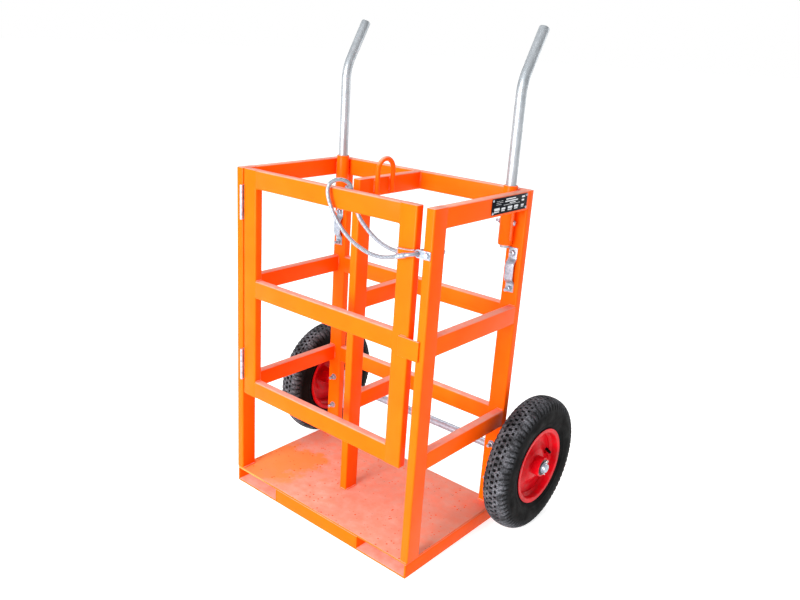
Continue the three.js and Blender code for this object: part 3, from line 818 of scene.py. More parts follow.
stop_low, stop_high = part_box("gate_stop_plate")
latch_low, latch_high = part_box("gate_stile_latch")
ends = [
    ((stop_low.x + 0.002, z), (latch_high.x - 0.005, z)) for z in (stop_low.z, stop_high.z)
] + [((stop_low.x, stop_low.z + 0.002), (stop_low.x, stop_high.z - 0.002))]
for (x0, z0), (x1, z1) in ends:
    bead(gate_mesh, Vector((x0, latch_low.y, z0)), Vector((x1, latch_low.y, z1)), 0.0026)
make_piece(weld_mesh, "frame_welds", orange_paint, "frame")
make_piece(gate_mesh, "gate_welds", orange_paint, "gate")


# %% [markdown]
# ## Base
# The base is a steel deck on two flat fork pockets, closed in front between them by a sill. The
# shapes in the CAD file are right, so a merged copy of each node is taken, its flat faces are
# dissolved into one and its sharp edges are eased. The same helper serves later for other cut and
# drilled plates.

# %% Softened copies of CAD nodes
SHARP = math.radians(40)
FLAT = math.radians(1)


def softened(node, radius, segments=2, sharp=SHARP):
    """A merged copy of a CAD node's mesh with its sharp edges rounded."""
    bm = bmesh.new()
    bm.from_mesh(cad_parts[node].data)
    bmesh.ops.remove_doubles(bm, verts=bm.verts, dist=1e-5)
    bmesh.ops.dissolve_limit(bm, angle_limit=FLAT, verts=bm.verts, edges=bm.edges)
    edges = [e for e in bm.edges if len(e.link_faces) == 2 and e.calc_face_angle() > sharp]
    round_edges(bm, edges, radius, segments)
    return bm


for node in ("fork_pocket_left", "fork_pocket_right", "front_sill"):
    make_piece(softened(node, 0.0012, 3), f"{node}_steel", orange_paint, "frame", node)

deck_mesh = softened("deck_plate", 0.0011, 3)
make_piece(deck_mesh, "deck_sheet", deck_paint, "frame", "deck_plate")

# %% [markdown]
# ## Lifting eye
# A 13 mm round bar is bent over into an upside-down U and welded to the side of the centre rail,
# so the whole trolley can be craned. The bar's line is two straight legs and half a circle, and
# the ring is swept along it with rounded bar ends.

# %% Lifting eye
EYE_STEPS, LEG_POINTS, LEG_STEP = 24, 6, 0.01
eye_middle = middle_of("lifting_eye")
eye_span = (eye_high.y - eye_low.y) / 2 - EYE_BAR
spring_z = eye_high.z - EYE_BAR - eye_span
turns = [math.pi * (1 - i / EYE_STEPS) for i in range(EYE_STEPS + 1)]
places = [(-eye_span, eye_low.z + i * LEG_STEP) for i in range(LEG_POINTS)]
places += [(eye_span * math.cos(turn), spring_z + eye_span * math.sin(turn)) for turn in turns]
places += [(eye_span, eye_low.z + i * LEG_STEP) for i in reversed(range(LEG_POINTS))]
eye_line = [Vector((eye_middle.x, eye_middle.y + y, z)) for y, z in places]
eye_radii = [EYE_BAR] * len(eye_line)
eye_radii[0] = eye_radii[-1] = EYE_BAR * 0.93
eye_mesh = bmesh.new()
sweep(eye_mesh, frames_along(eye_line), eye_radii, 24)
make_piece(eye_mesh, "lifting_eye_bar", orange_paint, "frame", "lifting_eye")


# %% [markdown]
# ## Turned parts and hexagons
# Sockets, pins, washers, hubs and tyres are turned: half a section spun a full turn round an axis
# and merged at the seam. A bolt is a chamfered hexagon, a washer and a turned shank whose section
# is a saw-tooth, which reads as a thread. Both helpers take a frame whose Z axis is the part's.

# %% Lathe, hexagon and bolt
HEX_CHAMFER = 0.0008
PITCH, THREAD_ROOT = 0.00125, 0.87


def axis_frame(place, direction):
    turn = Vector(direction).to_track_quat("Z", "Y").to_matrix().to_4x4()
    return Matrix.Translation(place) @ turn


def lathe(bm, section, axis, steps=48):
    """Spins a half section of (along, out) pairs round a frame's Z axis."""
    verts = [bm.verts.new(axis @ Vector((out, 0, along))) for along, out in section]
    edges = [bm.edges.new(pair) for pair in zip(verts, verts[1:])]
    direction = axis.to_3x3() @ Vector((0, 0, 1))
    bmesh.ops.spin(
        bm, geom=verts + edges, cent=axis.translation, axis=direction, dvec=(0, 0, 0),
        angle=math.tau, steps=steps, use_merge=True, use_duplicate=False,
    )


def hexagon(bm, axis, radius, start, height):
    """A hexagon from start along the axis, with its corners chamfered."""
    place = axis @ Matrix.Translation((0, 0, start + height / 2))
    made = bmesh.ops.create_cone(
        bm, cap_ends=True, segments=6, radius1=radius, radius2=radius, depth=height, matrix=place
    )
    edges = list({e for v in made["verts"] for e in v.link_edges})
    round_edges(bm, edges, min(HEX_CHAMFER, height / 5), 2)


def threaded(bm, axis, radius, start, end):
    """A turned rod with saw-tooth grooves and a chamfered end."""
    section = [(start, 0), (start, radius)]
    place = start
    while place + PITCH < end - 0.0012:
        section += [(place + PITCH * 0.5, radius * THREAD_ROOT), (place + PITCH, radius)]
        place += PITCH
    section += [(end - 0.001, radius), (end, radius * 0.75), (end, 0)]
    lathe(bm, section, axis, 20)


def ring_section(start, end, inner, outer, ease):
    """The closed section of a ring whose outer corners are eased."""
    return [
        (start, inner), (start, outer - ease), (start + ease, outer), (end - ease, outer),
        (end, outer - ease), (end, inner), (start, inner),
    ]


def washer(bm, axis, radius, bore, start, thick):
    lathe(bm, ring_section(start, start + thick, bore, radius, thick * 0.25), axis, 28)


print("lathe and bolt helpers ready")


# %% [markdown]
# ## Butt hinges
# Two five-knuckle butt hinges carry the gate. Their leaves are hidden between the post and the
# gate's stile, and only the knuckles show in front. Knuckles 1, 3 and 5 belong to the post's leaf
# and 2 and 4 to the gate's, with a domed pin through them all.

# %% Hinges
KNUCKLES = 5
BARREL, PIN = 0.0045, 0.0024
LEAF_SIDES, LEAF_GAP, NECK = (0.00015, 0.00195), 0.0006, 0.0025
LEAF_PLAY, KNUCKLE_PLAY = 0.0003, 0.0002
for level in ("lower", "upper"):
    pin_low, pin_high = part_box(f"hinge_{level}_pin")
    middle = middle_of(f"hinge_{level}_pin")
    hinge_axis = axis_frame((middle.x, middle.y, pin_low.z), (0, 0, 1))
    height = pin_high.z - pin_low.z
    step = height / KNUCKLES
    leaf_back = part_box(f"hinge_{level}_post_leaf")[1].y
    for part, body, first, side in (("post", "frame", 0, -1), ("gate", "gate", 1, 1)):
        leaf_mesh = bmesh.new()
        x0, x1 = sorted(middle.x + side * place for place in LEAF_SIDES)
        low = Vector((x0, middle.y + BARREL + LEAF_GAP, pin_low.z))
        high = Vector((x1, leaf_back, pin_high.z))
        leaf_verts = block(leaf_mesh, low, high)
        round_edges(leaf_mesh, list({e for v in leaf_verts for e in v.link_edges}), 0.0003, 1)
        for k in range(first, KNUCKLES, 2):
            start, end = k * step + KNUCKLE_PLAY, (k + 1) * step - KNUCKLE_PLAY
            knuckle = ring_section(start, end, PIN + LEAF_PLAY, BARREL, 0.0005)
            lathe(leaf_mesh, knuckle, hinge_axis, 28)
            neck_low = Vector((low.x, low.y - NECK, pin_low.z + start + LEAF_PLAY))
            neck_high = Vector((high.x, low.y + 0.001, pin_low.z + end - LEAF_PLAY))
            block(leaf_mesh, neck_low, neck_high)
        node = f"hinge_{level}_{part}_leaf"
        make_piece(leaf_mesh, f"{node}_steel", zinc_plate, body, node)
    pin_mesh = bmesh.new()
    dome = [(0.0, 0.0), (0.0003, PIN * 0.7), (0.0012, PIN)]
    section = dome + [(height - a, r) for a, r in reversed(dome)]
    lathe(pin_mesh, section, hinge_axis, 24)
    make_piece(pin_mesh, f"hinge_{level}_pin_rod", bright_steel, "frame", f"hinge_{level}_pin")

# %% Stop plate
make_piece(softened("gate_stop_plate", 0.001, 3), "gate_stop_steel", orange_paint, "gate",
           "gate_stop_plate")

# %% [markdown]
# ## Handle sockets and handles
# Each handle is a bent length of galvanised pipe that drops into a painted socket tube, where one
# bolt holds it. The sockets are turned with a rolled rim. The handles are one sweep: up the
# outside, over a rounded lip and a little way down the bore, so the mouth is open as a cut pipe's
# is.

# %% Sockets
SOCKET_BORE = 0.0141
for side, _ in SIDES:
    low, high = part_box(f"handle_socket_{side}")
    middle = (low + high) / 2
    out = (high.x - low.x) / 2
    section = [
        (low.z, SOCKET_BORE), (low.z, out - 0.0012), (low.z + 0.0004, out - 0.0004),
        (low.z + 0.0012, out), (high.z - 0.0015, out), (high.z - 0.0004, out - 0.0005),
        (high.z, out - 0.0016), (high.z, SOCKET_BORE + 0.0008), (high.z - 0.0008, SOCKET_BORE),
        (low.z, SOCKET_BORE),
    ]
    socket_mesh = bmesh.new()
    lathe(socket_mesh, section, axis_frame((middle.x, middle.y, 0), (0, 0, 1)), 56)
    make_piece(socket_mesh, f"handle_socket_{side}_tube", orange_paint, "frame",
               f"handle_socket_{side}")

# %% Handles
PIPE = 0.0135
PIPE_BORE = 0.011
BEND_START, BEND_RADIUS, LEAN, TIP = 1.205, 0.120, math.radians(30), 0.118


def handle_line(foot):
    """Points up a handle: straight, round the bend, and out to the tip."""
    line = [Vector((foot.x, foot.y, foot.z + 0.03 * i)) for i in range(12)]
    line = [p for p in line if p.z < BEND_START - 0.01]
    for i in range(19):
        turn = LEAN * i / 18
        line.append(
            Vector((foot.x, foot.y + BEND_RADIUS * (1 - math.cos(turn)),
                    BEND_START + BEND_RADIUS * math.sin(turn)))
        )
    along = Vector((0, math.sin(LEAN), math.cos(LEAN)))
    corner = line[-1]
    line += [corner + along * TIP * share for share in (0.3, 0.6, 0.9, 0.985, 0.996, 1.0)]
    return line


for side, _ in SIDES:
    low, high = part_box(f"handle_{side}")
    foot = Vector(((low.x + high.x) / 2, low.y + PIPE, low.z))
    line = handle_line(foot)
    frames = frames_along(line)
    outside = [PIPE - 0.0008] + [PIPE] * (len(line) - 3) + [PIPE - 0.0004, PIPE - 0.0012]
    inside = [PIPE_BORE + 0.0006] + [PIPE_BORE] * 4
    handle_mesh = bmesh.new()
    sweep(handle_mesh, frames + frames[:-6:-1], outside + inside, 40)
    make_piece(handle_mesh, f"handle_{side}_pipe", galvanised_tube, "frame", f"handle_{side}")

# %% Handle bolts
BOLT_GRIP = 0.037


def bolt_set(bm, axis, across, ring, rod, head, nut):
    """Head and nut (start, height) of one size, each with a washer against the work, and a rod."""
    disc, bore, thick = ring
    for start, height, washer_start in (head, nut):
        hexagon(bm, axis, across, start, height)
        washer(bm, axis, disc, bore, washer_start, thick)
    threaded(bm, axis, *rod)


for side, sign in SIDES:
    low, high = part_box(f"handle_bolt_{side}")
    middle = (low + high) / 2
    outer = high.x if sign > 0 else low.x
    bolt_axis = axis_frame((outer, middle.y, middle.z), (-sign, 0, 0))
    bolt_mesh = bmesh.new()
    socket_low, socket_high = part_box(f"handle_socket_{side}")
    face = abs(outer - (socket_high.x if sign > 0 else socket_low.x))
    inner_face = face + BOLT_GRIP
    bolt_set(
        bolt_mesh, bolt_axis, 0.0064, (0.0078, 0.0038, 0.001), (0.0039, 0.0004, high.x - low.x),
        (0.0, face - 0.0011, face - 0.0011), (inner_face + 0.0011, 0.005, inner_face + 0.0001),
    )
    make_piece(bolt_mesh, f"handle_bolt_{side}_set", zinc_plate, "frame", f"handle_bolt_{side}")


# %% [markdown]
# ## Strap saddles
# A zinc-plated strip is bent into a shallow bridge on each rear post and bolted at both ends,
# for the strap that holds a bottle. Its side view is a line with rounded bends, drawn as an edge
# chain, extruded across the strip's width and given its thickness, then its edges are eased.

# %% Saddles
STRIP = 0.003


def rounded_line(corners, reach, steps):
    """Cuts each inner corner of a line with a smooth curve."""
    line = [corners[0]]
    for before, corner, after in zip(corners, corners[1:], corners[2:]):
        start = corner + (before - corner).normalized() * reach
        end = corner + (after - corner).normalized() * reach
        for i in range(steps + 1):
            t = i / steps
            line.append((1 - t) ** 2 * start + 2 * t * (1 - t) * corner + t**2 * end)
    return [*line, corners[-1]]


for side, _ in SIDES:
    low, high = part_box(f"strap_saddle_{side}")
    foot, crown = high.y - STRIP / 2, low.y + STRIP / 2
    profile = [(foot, low.z), (foot, 0.726), (crown, 0.736), (crown, 0.780), (foot, 0.790),
               (foot, high.z)]
    saddle_mesh = bmesh.new()
    line = rounded_line([Vector((low.x, y, z)) for y, z in profile], 0.0055, 6)
    verts = [saddle_mesh.verts.new(p) for p in line]
    edges = [saddle_mesh.edges.new(pair) for pair in zip(verts, verts[1:])]
    grown = bmesh.ops.extrude_edge_only(saddle_mesh, edges=edges)["geom"]
    moved = [g for g in grown if isinstance(g, bmesh.types.BMVert)]
    bmesh.ops.translate(saddle_mesh, verts=moved, vec=(high.x - low.x, 0, 0))
    bmesh.ops.recalc_face_normals(saddle_mesh, faces=saddle_mesh.faces)
    bmesh.ops.solidify(saddle_mesh, geom=saddle_mesh.faces[:], thickness=STRIP)
    ys = [v.co.y for v in saddle_mesh.verts]
    shift = high.y - max(ys)
    bmesh.ops.translate(saddle_mesh, verts=saddle_mesh.verts, vec=(0, shift, 0))
    sharp = [e for e in saddle_mesh.edges if e.calc_face_angle(0) > math.radians(60)]
    round_edges(saddle_mesh, sharp, 0.0006, 2)
    make_piece(saddle_mesh, f"strap_saddle_{side}_strip", zinc_plate, "frame",
               f"strap_saddle_{side}")
    print("saddle shifted by", round(shift * 1000, 2), "mm")

# %% Saddle bolts
SADDLE_BOLTS = ((0.807, 0.006), (0.709, 0.012))
bolt_mesh = bmesh.new()
for side, _ in SIDES:
    low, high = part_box(f"strap_saddle_{side}")
    x = (low.x + high.x) / 2
    for z, tail in SADDLE_BOLTS:
        bolt_axis = axis_frame((x, high.y - STRIP - 0.0002, z), (0, -1, 0))
        washer(bolt_mesh, bolt_axis, 0.0085, 0.003, 0.0, 0.0014)
        hexagon(bolt_mesh, bolt_axis, 0.0078, 0.0014, 0.0068)
        threaded(bolt_mesh, bolt_axis, 0.0046, -0.004, 0.0082 + tail)
make_piece(bolt_mesh, "saddle_bolts", zinc_plate, "frame")

# %% [markdown]
# ## Rope anchor
# A zinc-plated tongue is bolted through the right front post, and the rope loop runs through the
# eye at its inner end. The plate is a softened copy of its node, which already has the round end
# and the hole. The bolt has its head in front and its nut behind the post.

# %% Anchor and bolt
make_piece(softened("cable_anchor", 0.0007, 2), "rope_anchor_plate", zinc_plate, "frame",
           "cable_anchor")
low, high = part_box("cable_anchor_bolt")
middle = (low + high) / 2
anchor_axis = axis_frame((middle.x, low.y, middle.z), (0, 1, 0))
plate_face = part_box("cable_anchor")[0].y - low.y
post_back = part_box("post_front_right")[1].y - low.y
anchor_bolt = bmesh.new()
bolt_set(
    anchor_bolt, anchor_axis, 0.0084, (0.0098, 0.0048, 0.0012), (0.0049, 0.0006, high.y - low.y),
    (0.0002, plate_face - 0.0016, plate_face - 0.0014),
    (post_back + 0.0014, 0.0062, post_back + 0.0002),
)
make_piece(anchor_bolt, "rope_anchor_bolt", zinc_plate, "frame", "cable_anchor_bolt")


# %% [markdown]
# ## Nameplate
# A thin black plate with pale marks is riveted to the right top rail. The marks stand for rows of
# print and little boxes, and say nothing. Each is a low raised block in pale enamel, so the marks
# are shapes and not only colour.

# %% Plate finishes
def plate_black_finish():
    made = Finish("plate_black", "label_plate", IOR=1.5, Specular_IOR_Level=0.05)
    tone = made.noise(240, 5)
    colour = made.steps(tone, ((0.35, (0.002, 0.003, 0.006)), (0.75, (0.006, 0.008, 0.014))))
    scratches = made.noise(90, 8, 0.8, made.stretched(1, 0.2, 1.6))
    colour = made.patchy(colour, (0.1, 0.1, 0.105), scratches, 0.66, 0.72, 0.4)
    rough = made.steps(tone, ((0.3, 0.30), (0.8, 0.5)))
    made.bump(made.noise(800, 2), 0.00005, 0.5)
    return made.done(colour, rough)


def plate_pale_finish():
    made = Finish("plate_pale", "label_plate", IOR=1.5, Metallic=0.2)
    tone = made.noise(420, 4)
    colour = made.steps(tone, ((0.35, (0.50, 0.52, 0.55)), (0.7, (0.78, 0.79, 0.82))))
    rough = made.steps(tone, ((0.3, 0.45), (0.8, 0.3)))
    made.bump(made.noise(900, 2), 0.00004, 0.5)
    return made.done(colour, rough)


plate_black, plate_pale = plate_black_finish(), plate_pale_finish()

# %% Plate, marks and rivets
RIVET = [(0, 0), (0, 0.0034), (0.0011, 0.0034), (0.0019, 0.0028), (0.0024, 0.0016), (0.0026, 0.0)]
RIVET_Y, RIVET_Z, RIVET_SUNK = 0.0755, 0.0155, 0.0008
make_piece(softened("nameplate", 0.0004, 2), "nameplate_sheet", plate_black, "frame", "nameplate")
plate_face_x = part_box("nameplate")[1].x
plate_centre = middle_of("nameplate")
marks = [(-20, 14.2, 44, 2.6), (-24, 8.8, 58, 3.0), (-2, 4.0, 26, 2.2)]
for row, length in ((12.5, 26), (8.6, 30), (4.4, 22)):
    place = -62.0
    while place < -62 + length:
        dash = random.uniform(3, 8)
        marks.append((place, row, dash, 1.0))
        place += dash + random.uniform(1.6, 3.0)
for place, width, tall in ((-70, 24, 13), (-38, 17, 10), (-9, 20, 11.5), (20, 18, 11), (52, 12, 8)):
    marks.append((place, -9.5 + tall * 0.2, width, tall * 0.5))
    marks.append((place, -9.5 - tall * 0.3, width * 0.9, tall * 0.22))
for row, width in ((13.0, 14), (4.5, 11)):
    marks.append((53, row, width, 4.2))
marks.append((-30, 0.6, 74, 0.8))
marks_mesh = bmesh.new()
for place, row, width, tall in marks:
    low = plate_centre + Vector((0, place * MM, (row - tall / 2) * MM))
    high = plate_centre + Vector((0, (place + width) * MM, (row + tall / 2) * MM))
    low.x, high.x = plate_face_x - 0.0003, plate_face_x + 0.00025
    verts = block(marks_mesh, low, high)
    if tall > 4:
        edges = [e for e in {e for v in verts for e in v.link_edges}
                 if abs(e.verts[0].co.x - e.verts[1].co.x) > 1e-5]
        round_edges(marks_mesh, edges, 0.0012, 2)
make_piece(marks_mesh, "nameplate_marks", plate_pale, "frame")
rivets_mesh = bmesh.new()
for dy in (-RIVET_Y, RIVET_Y):
    for dz in (-RIVET_Z, RIVET_Z):
        place = (plate_face_x - RIVET_SUNK, plate_centre.y + dy, plate_centre.z + dz)
        lathe(rivets_mesh, RIVET, axis_frame(place, (1, 0, 0)), 20)
make_piece(rivets_mesh, "nameplate_rivets", zinc_plate, "frame")
print("marks", len(marks))

# %% [markdown]
# ## Axle
# One zinc-plated bar runs across behind the frame in two plated brackets, bolted to the posts. A
# collar stops each wheel on its inner side, and a washer and a split pin hold it outside. The bar
# is turned with its collars in one section. The pins' legs are swept wire, spread apart.

# %% Brackets
for side, _ in SIDES:
    node = f"axle_bracket_{side}"
    make_piece(softened(node, 0.0012, 3), f"{node}_steel", zinc_plate, "frame", node)
BRACKET_BOLT_HEIGHTS = (0.241, 0.138)
FLANGE_BACK = 0.0527
bolt_mesh = bmesh.new()
post_face_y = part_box("post_rear_right")[0].y
for side, _ in SIDES:
    x = middle_of(f"axle_bracket_{side}").x
    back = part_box(f"axle_bracket_{side}")[1].y - FLANGE_BACK
    for z in BRACKET_BOLT_HEIGHTS:
        for y, direction in ((post_face_y, -1), (back, 1)):
            bolt_axis = axis_frame((x, y, z), (0, direction, 0))
            washer(bolt_mesh, bolt_axis, 0.0105, 0.004, 0.0, 0.0016)
            hexagon(bolt_mesh, bolt_axis, 0.0085, 0.0016, 0.0062)
        threaded(bolt_mesh, axis_frame((x, post_face_y, z), (0, -1, 0)), 0.005, -0.001, 0.0205)
make_piece(bolt_mesh, "bracket_bolts", zinc_plate, "frame")

# %% Axle bar
_, axle_y, axle_z = middle_of("axle")
BAR = 0.0125
COLLAR = 0.019
PIN_X = 0.4585
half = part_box("axle")[1].x
collar_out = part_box("wheel_rim_right")[0].x - 0.0003
section = [(half, 0.0), (half, BAR - 0.0022), (half - 0.0006, BAR - 0.0008), (half - 0.002, BAR)]
section += [(collar_out, BAR), (collar_out, COLLAR - 0.0008), (collar_out - 0.0008, COLLAR)]
section += [(collar_out - 0.0032, COLLAR), (collar_out - 0.004, COLLAR - 0.0008)]
section += [(collar_out - 0.004, BAR)]
axle_mesh = bmesh.new()
lathe(
    axle_mesh,
    section + [(-a, r) for a, r in reversed(section)],
    axis_frame((0, axle_y, axle_z), (1, 0, 0)),
    48,
)
make_piece(axle_mesh, "axle_bar", zinc_plate, "frame", "axle")

# %% Washers and split pins
for side, sign in SIDES:
    low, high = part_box(f"axle_washer_{side}")
    inner = low.x if sign > 0 else high.x
    washer_mesh = bmesh.new()
    washer(
        washer_mesh, axis_frame((inner, axle_y, axle_z), (sign, 0, 0)),
        (high.z - low.z) / 2, BAR + 0.0003, 0.0, high.x - low.x,
    )
    make_piece(washer_mesh, f"axle_washer_{side}_disc", zinc_plate, "frame", f"axle_washer_{side}")

PIN_WIRE, PIN_LOOP, LOOP_STEPS = 0.0017, 0.0038, 12
PIN_UP, PIN_ACROSS = Vector((0, 0.35, 0.937)), Vector((0, 0.937, -0.35))
# how far up from the axle's middle, and how far out, down one leg
LEG = ((0.0145, 0.0008), (-0.013, 0.0008), (-0.0165, 0.0024), (-0.0175, 0.005), (-0.0185, 0.0076))
turns = [math.radians(-50 + 280 * i / LOOP_STEPS) for i in range(LOOP_STEPS + 1)]
loop = [(0.0185 + PIN_LOOP * math.sin(turn), PIN_LOOP * math.cos(turn)) for turn in turns]
pins_mesh = bmesh.new()
for _, sign in SIDES:
    centre = Vector((sign * PIN_X, axle_y, axle_z))
    bent = [*reversed(LEG), *loop, *((up, -out) for up, out in LEG)]
    path = [centre + PIN_UP * up + PIN_ACROSS * out for up, out in bent]
    sweep(pins_mesh, frames_along(path), [PIN_WIRE] * len(path), 10)
make_piece(pins_mesh, "split_pins", bright_steel, "frame")

# %% [markdown]
# ## Wheels
# Each wheel is a pressed steel rim, sprayed red, with a tube hub on two ball bearings. The rim's
# section is turned in one go: the outer flanges, the seats for the tyre's beads and the well
# between them. The dished web that carries the hub is turned on its own, and the hole that the
# valve looks out through is drilled before the two are joined.


# %% Red paint and rubber
def red_finish():
    made = Finish("red_paint", IOR=1.5, Specular_IOR_Level=0.08)
    cloud = made.noise(22, 5)
    colour = made.steps(cloud, ((0.3, (0.52, 0.002, 0.007)), (0.55, (0.70, 0.004, 0.012)),
                                (0.75, (0.80, 0.006, 0.017))))
    dust = made.steps(made.noise(38, 7, 0.7), ((0.50, 0.0), (0.74, 0.45)))
    colour = made.mix(dust, colour, (0.20, 0.08, 0.075))
    colour = made.patchy(colour, (0.10, 0.05, 0.045), made.noise(260, 5, 0.7), 0.70, 0.73)
    rough = made.mix(dust, (0.30, 0.30, 0.30), (0.72, 0.72, 0.72))
    made.bump(made.noise(260, 2), 0.0002, 0.35)
    made.bump(made.noise(30, 2), 0.0006, 0.2)
    return made.done(colour, rough)


def rubber_finish():
    made = Finish("tyre_rubber", IOR=1.5, Specular_IOR_Level=0.06)
    grain = made.noise(900, 4, 0.7)
    patches = made.noise(26, 6, 0.65)
    colour = made.steps(grain, ((0.35, (0.0018, 0.0018, 0.0019)), (0.7, (0.0045, 0.0045, 0.0047))))
    # The raised tread takes a bluish-grey film, part road dust and part painted sheen; it is kept
    # out of the cuts and off the wall, which stay black as painted shade.
    dust_and_sheen_patches = made.steps(patches, ((0.38, 0.14), (0.68, 0.85)))
    fine = made.steps(made.noise(240, 5, 0.7), ((0.36, 0.1), (0.66, 1.0)))
    attribute = made.node("ShaderNodeAttribute", attribute_name="tread").outputs["Fac"]
    tread_dust_and_sheen = made.times(made.times(dust_and_sheen_patches, fine), attribute)
    colour = made.mix(tread_dust_and_sheen, colour, (0.25, 0.258, 0.29))
    rough = made.steps(patches, ((0.35, 0.55), (0.7, 0.85)))
    made.bump(grain, 0.0002, 0.5)
    made.bump(made.noise(80, 3), 0.0005, 0.25)
    return made.done(colour, rough)


red_paint, tyre_rubber = red_finish(), rubber_finish()

# %% Rim
RIM_SHEET = 0.003
RIM_STEPS = 96


def offset_section(centre, thick):
    """The closed outline of a strip of sheet along a centre line of (along, out) points."""
    points = [Vector(p) for p in centre]
    sides = ([], [])
    for i, point in enumerate(points):
        before = points[max(i - 1, 0)]
        after = points[min(i + 1, len(points) - 1)]
        run = (after - before).normalized()
        normal = Vector((-run.y, run.x))
        sides[0].append(point + normal * thick / 2)
        sides[1].append(point - normal * thick / 2)
    outline = sides[0] + sides[1][::-1]
    return [(p.x, p.y) for p in [*outline, outline[0]]]


def smooth_section(corners, reach, steps=4):
    line = rounded_line([Vector((a * MM, r * MM, 0)) for a, r in corners], reach, steps)
    return [(p.x, p.y) for p in line]


# along the axle, out from it, in millimetres; the wheel's middle plane is 0
BARREL_LINE = [
    (-34.5, 110), (-32.8, 110), (-32.8, 100.5), (-17, 100.5), (-11, 92), (11, 92), (17, 100.5),
    (32.8, 100.5), (32.8, 110), (34.5, 110),
]
WEB_LINE = [(8, 92.5), (8, 66), (11, 57), (19.5, 44), (21.5, 37), (22, 27)]
HUB = ring_section(-0.046, 0.046, 0.0238, 0.028, 0.0012)
VALVE_REACH, VALVE_TURN = 0.077, math.radians(8)
VALVE_HOLE, HOLE_DEPTH = 0.0098, 0.03
print("rim steps", RIM_STEPS)

# %% [markdown]
# ## Tyre
# The tyre is a 4.00-8 barrow tyre. Its carcass is turned with narrow bands across the tread, and
# the tread is then cut: chosen faces are inset and pushed inwards. The middle row is a string of
# square pits, smaller pits lie on each side in the gaps, and long grooves cross the shoulders. An
# attribute says how far out a point is, so a film of road dust with painted sheen lies on the
# raised tread alone, and the cuts and the wall stay black as painted shade.

# %% Tyre section and tread pattern
TYRE_STEPS = 144
# how the dust and painted sheen on the tread fade out down the wall and into the cuts
TREAD_FLOOR, DUST_SHEEN_FADE, DUST_SHEEN_DEPTH = 0.165, 0.027, 0.0030
CROWN = [
    (0, 197), (5.5, 196.8), (9.5, 196.3), (16, 195.0), (20, 193.7), (24, 191.9), (29, 188.6),
    (33, 184.0), (36, 177.5), (38, 169.0),
]
WALL = [
    (39.3, 160), (40, 150), (39.6, 142), (38.6, 134), (37.8, 130.5), (38.2, 128.5), (37.2, 126.5),
    (35.2, 121), (33.2, 116.5), (31.6, 113.2), (31, 112.3), (31, 106), (31, 102.4),
]
INNER = [(23, 102.4), (24, 115), (31, 131.5), (32, 155), (24, 178), (0, 186)]
# band of the crown (by its two widths), depth, inset, and whether even or odd columns are cut
PITS = [(0, 5.5, 0.0055, 0.0005, 0), (9.5, 16, 0.0050, 0.0005, 1)]
GROOVE = (20, 38, 0.0014, 0.0028, 0)


def band_faces(faces, centre, inner, outer, parity):
    """Tread faces between two distances from the middle plane, in every other column."""
    chosen = []
    for face in faces:
        spot = face.calc_center_median() - centre
        if spot.yz.length < TREAD_FLOOR:
            continue
        reach = abs(spot.x) / MM
        column = math.floor(math.atan2(spot.z, spot.y) / math.tau * TYRE_STEPS + 1e-3)
        if inner < reach < outer and column % 2 == parity:
            chosen.append(face)
    return chosen


def cut_tyre(bm, centre):
    """Turns a carcass about the wheel's axle and cuts its tread."""
    half = CROWN + WALL
    outline = [(-a, r) for a, r in reversed(half)] + half[1:]
    inner = INNER[:-1] + [(-a, r) for a, r in reversed(INNER[:-1])]
    inner.insert(len(INNER) - 1, INNER[-1])
    closed = outline + inner
    section = [(a * MM, r * MM) for a, r in [*closed, closed[0]]]
    lathe(bm, section, axis_frame(centre, (1, 0, 0)), TYRE_STEPS)
    bmesh.ops.remove_doubles(bm, verts=bm.verts, dist=MERGE)
    bmesh.ops.recalc_face_normals(bm, faces=bm.faces)
    groove_faces = band_faces(bm.faces, centre, *GROOVE[:2], GROOVE[4])
    bmesh.ops.inset_region(
        bm, faces=groove_faces, thickness=GROOVE[3], depth=-GROOVE[2], use_even_offset=True,
        use_boundary=True,
    )
    for inner_edge, outer_edge, depth, inset, parity in PITS:
        pit_faces = band_faces(bm.faces, centre, inner_edge, outer_edge, parity)
        bmesh.ops.inset_region(
            bm, faces=pit_faces, thickness=inset, depth=-depth, use_even_offset=True,
            use_boundary=True,
        )


def crown_radius(reach):
    """How far out the uncut tread is, at a distance from the middle plane."""
    for (a, low), (b, high) in zip(CROWN, CROWN[1:]):
        if reach <= b:
            return (low + (high - low) * (reach - a) / (b - a)) * MM
    return CROWN[-1][1] * MM


def mark_tread(mesh, centre):
    """Stores how much dust and painted sheen each point of a tyre takes: 1 on the ribs, 0 in the
    cuts and down the wall, which stay black as painted shade.
    """
    marks = mesh.attributes.new("tread", "FLOAT", "POINT")
    for vert, mark in zip(mesh.vertices, marks.data):
        spot = vert.co - centre
        out = spot.yz.length
        sunk = crown_radius(abs(spot.x) / MM) - out
        shown = min(1.0, max(0.0, (out - TREAD_FLOOR) / DUST_SHEEN_FADE))
        mark.value = shown * min(1.0, max(0.0, 1 - sunk / DUST_SHEEN_DEPTH))


print("tyre columns", TYRE_STEPS)

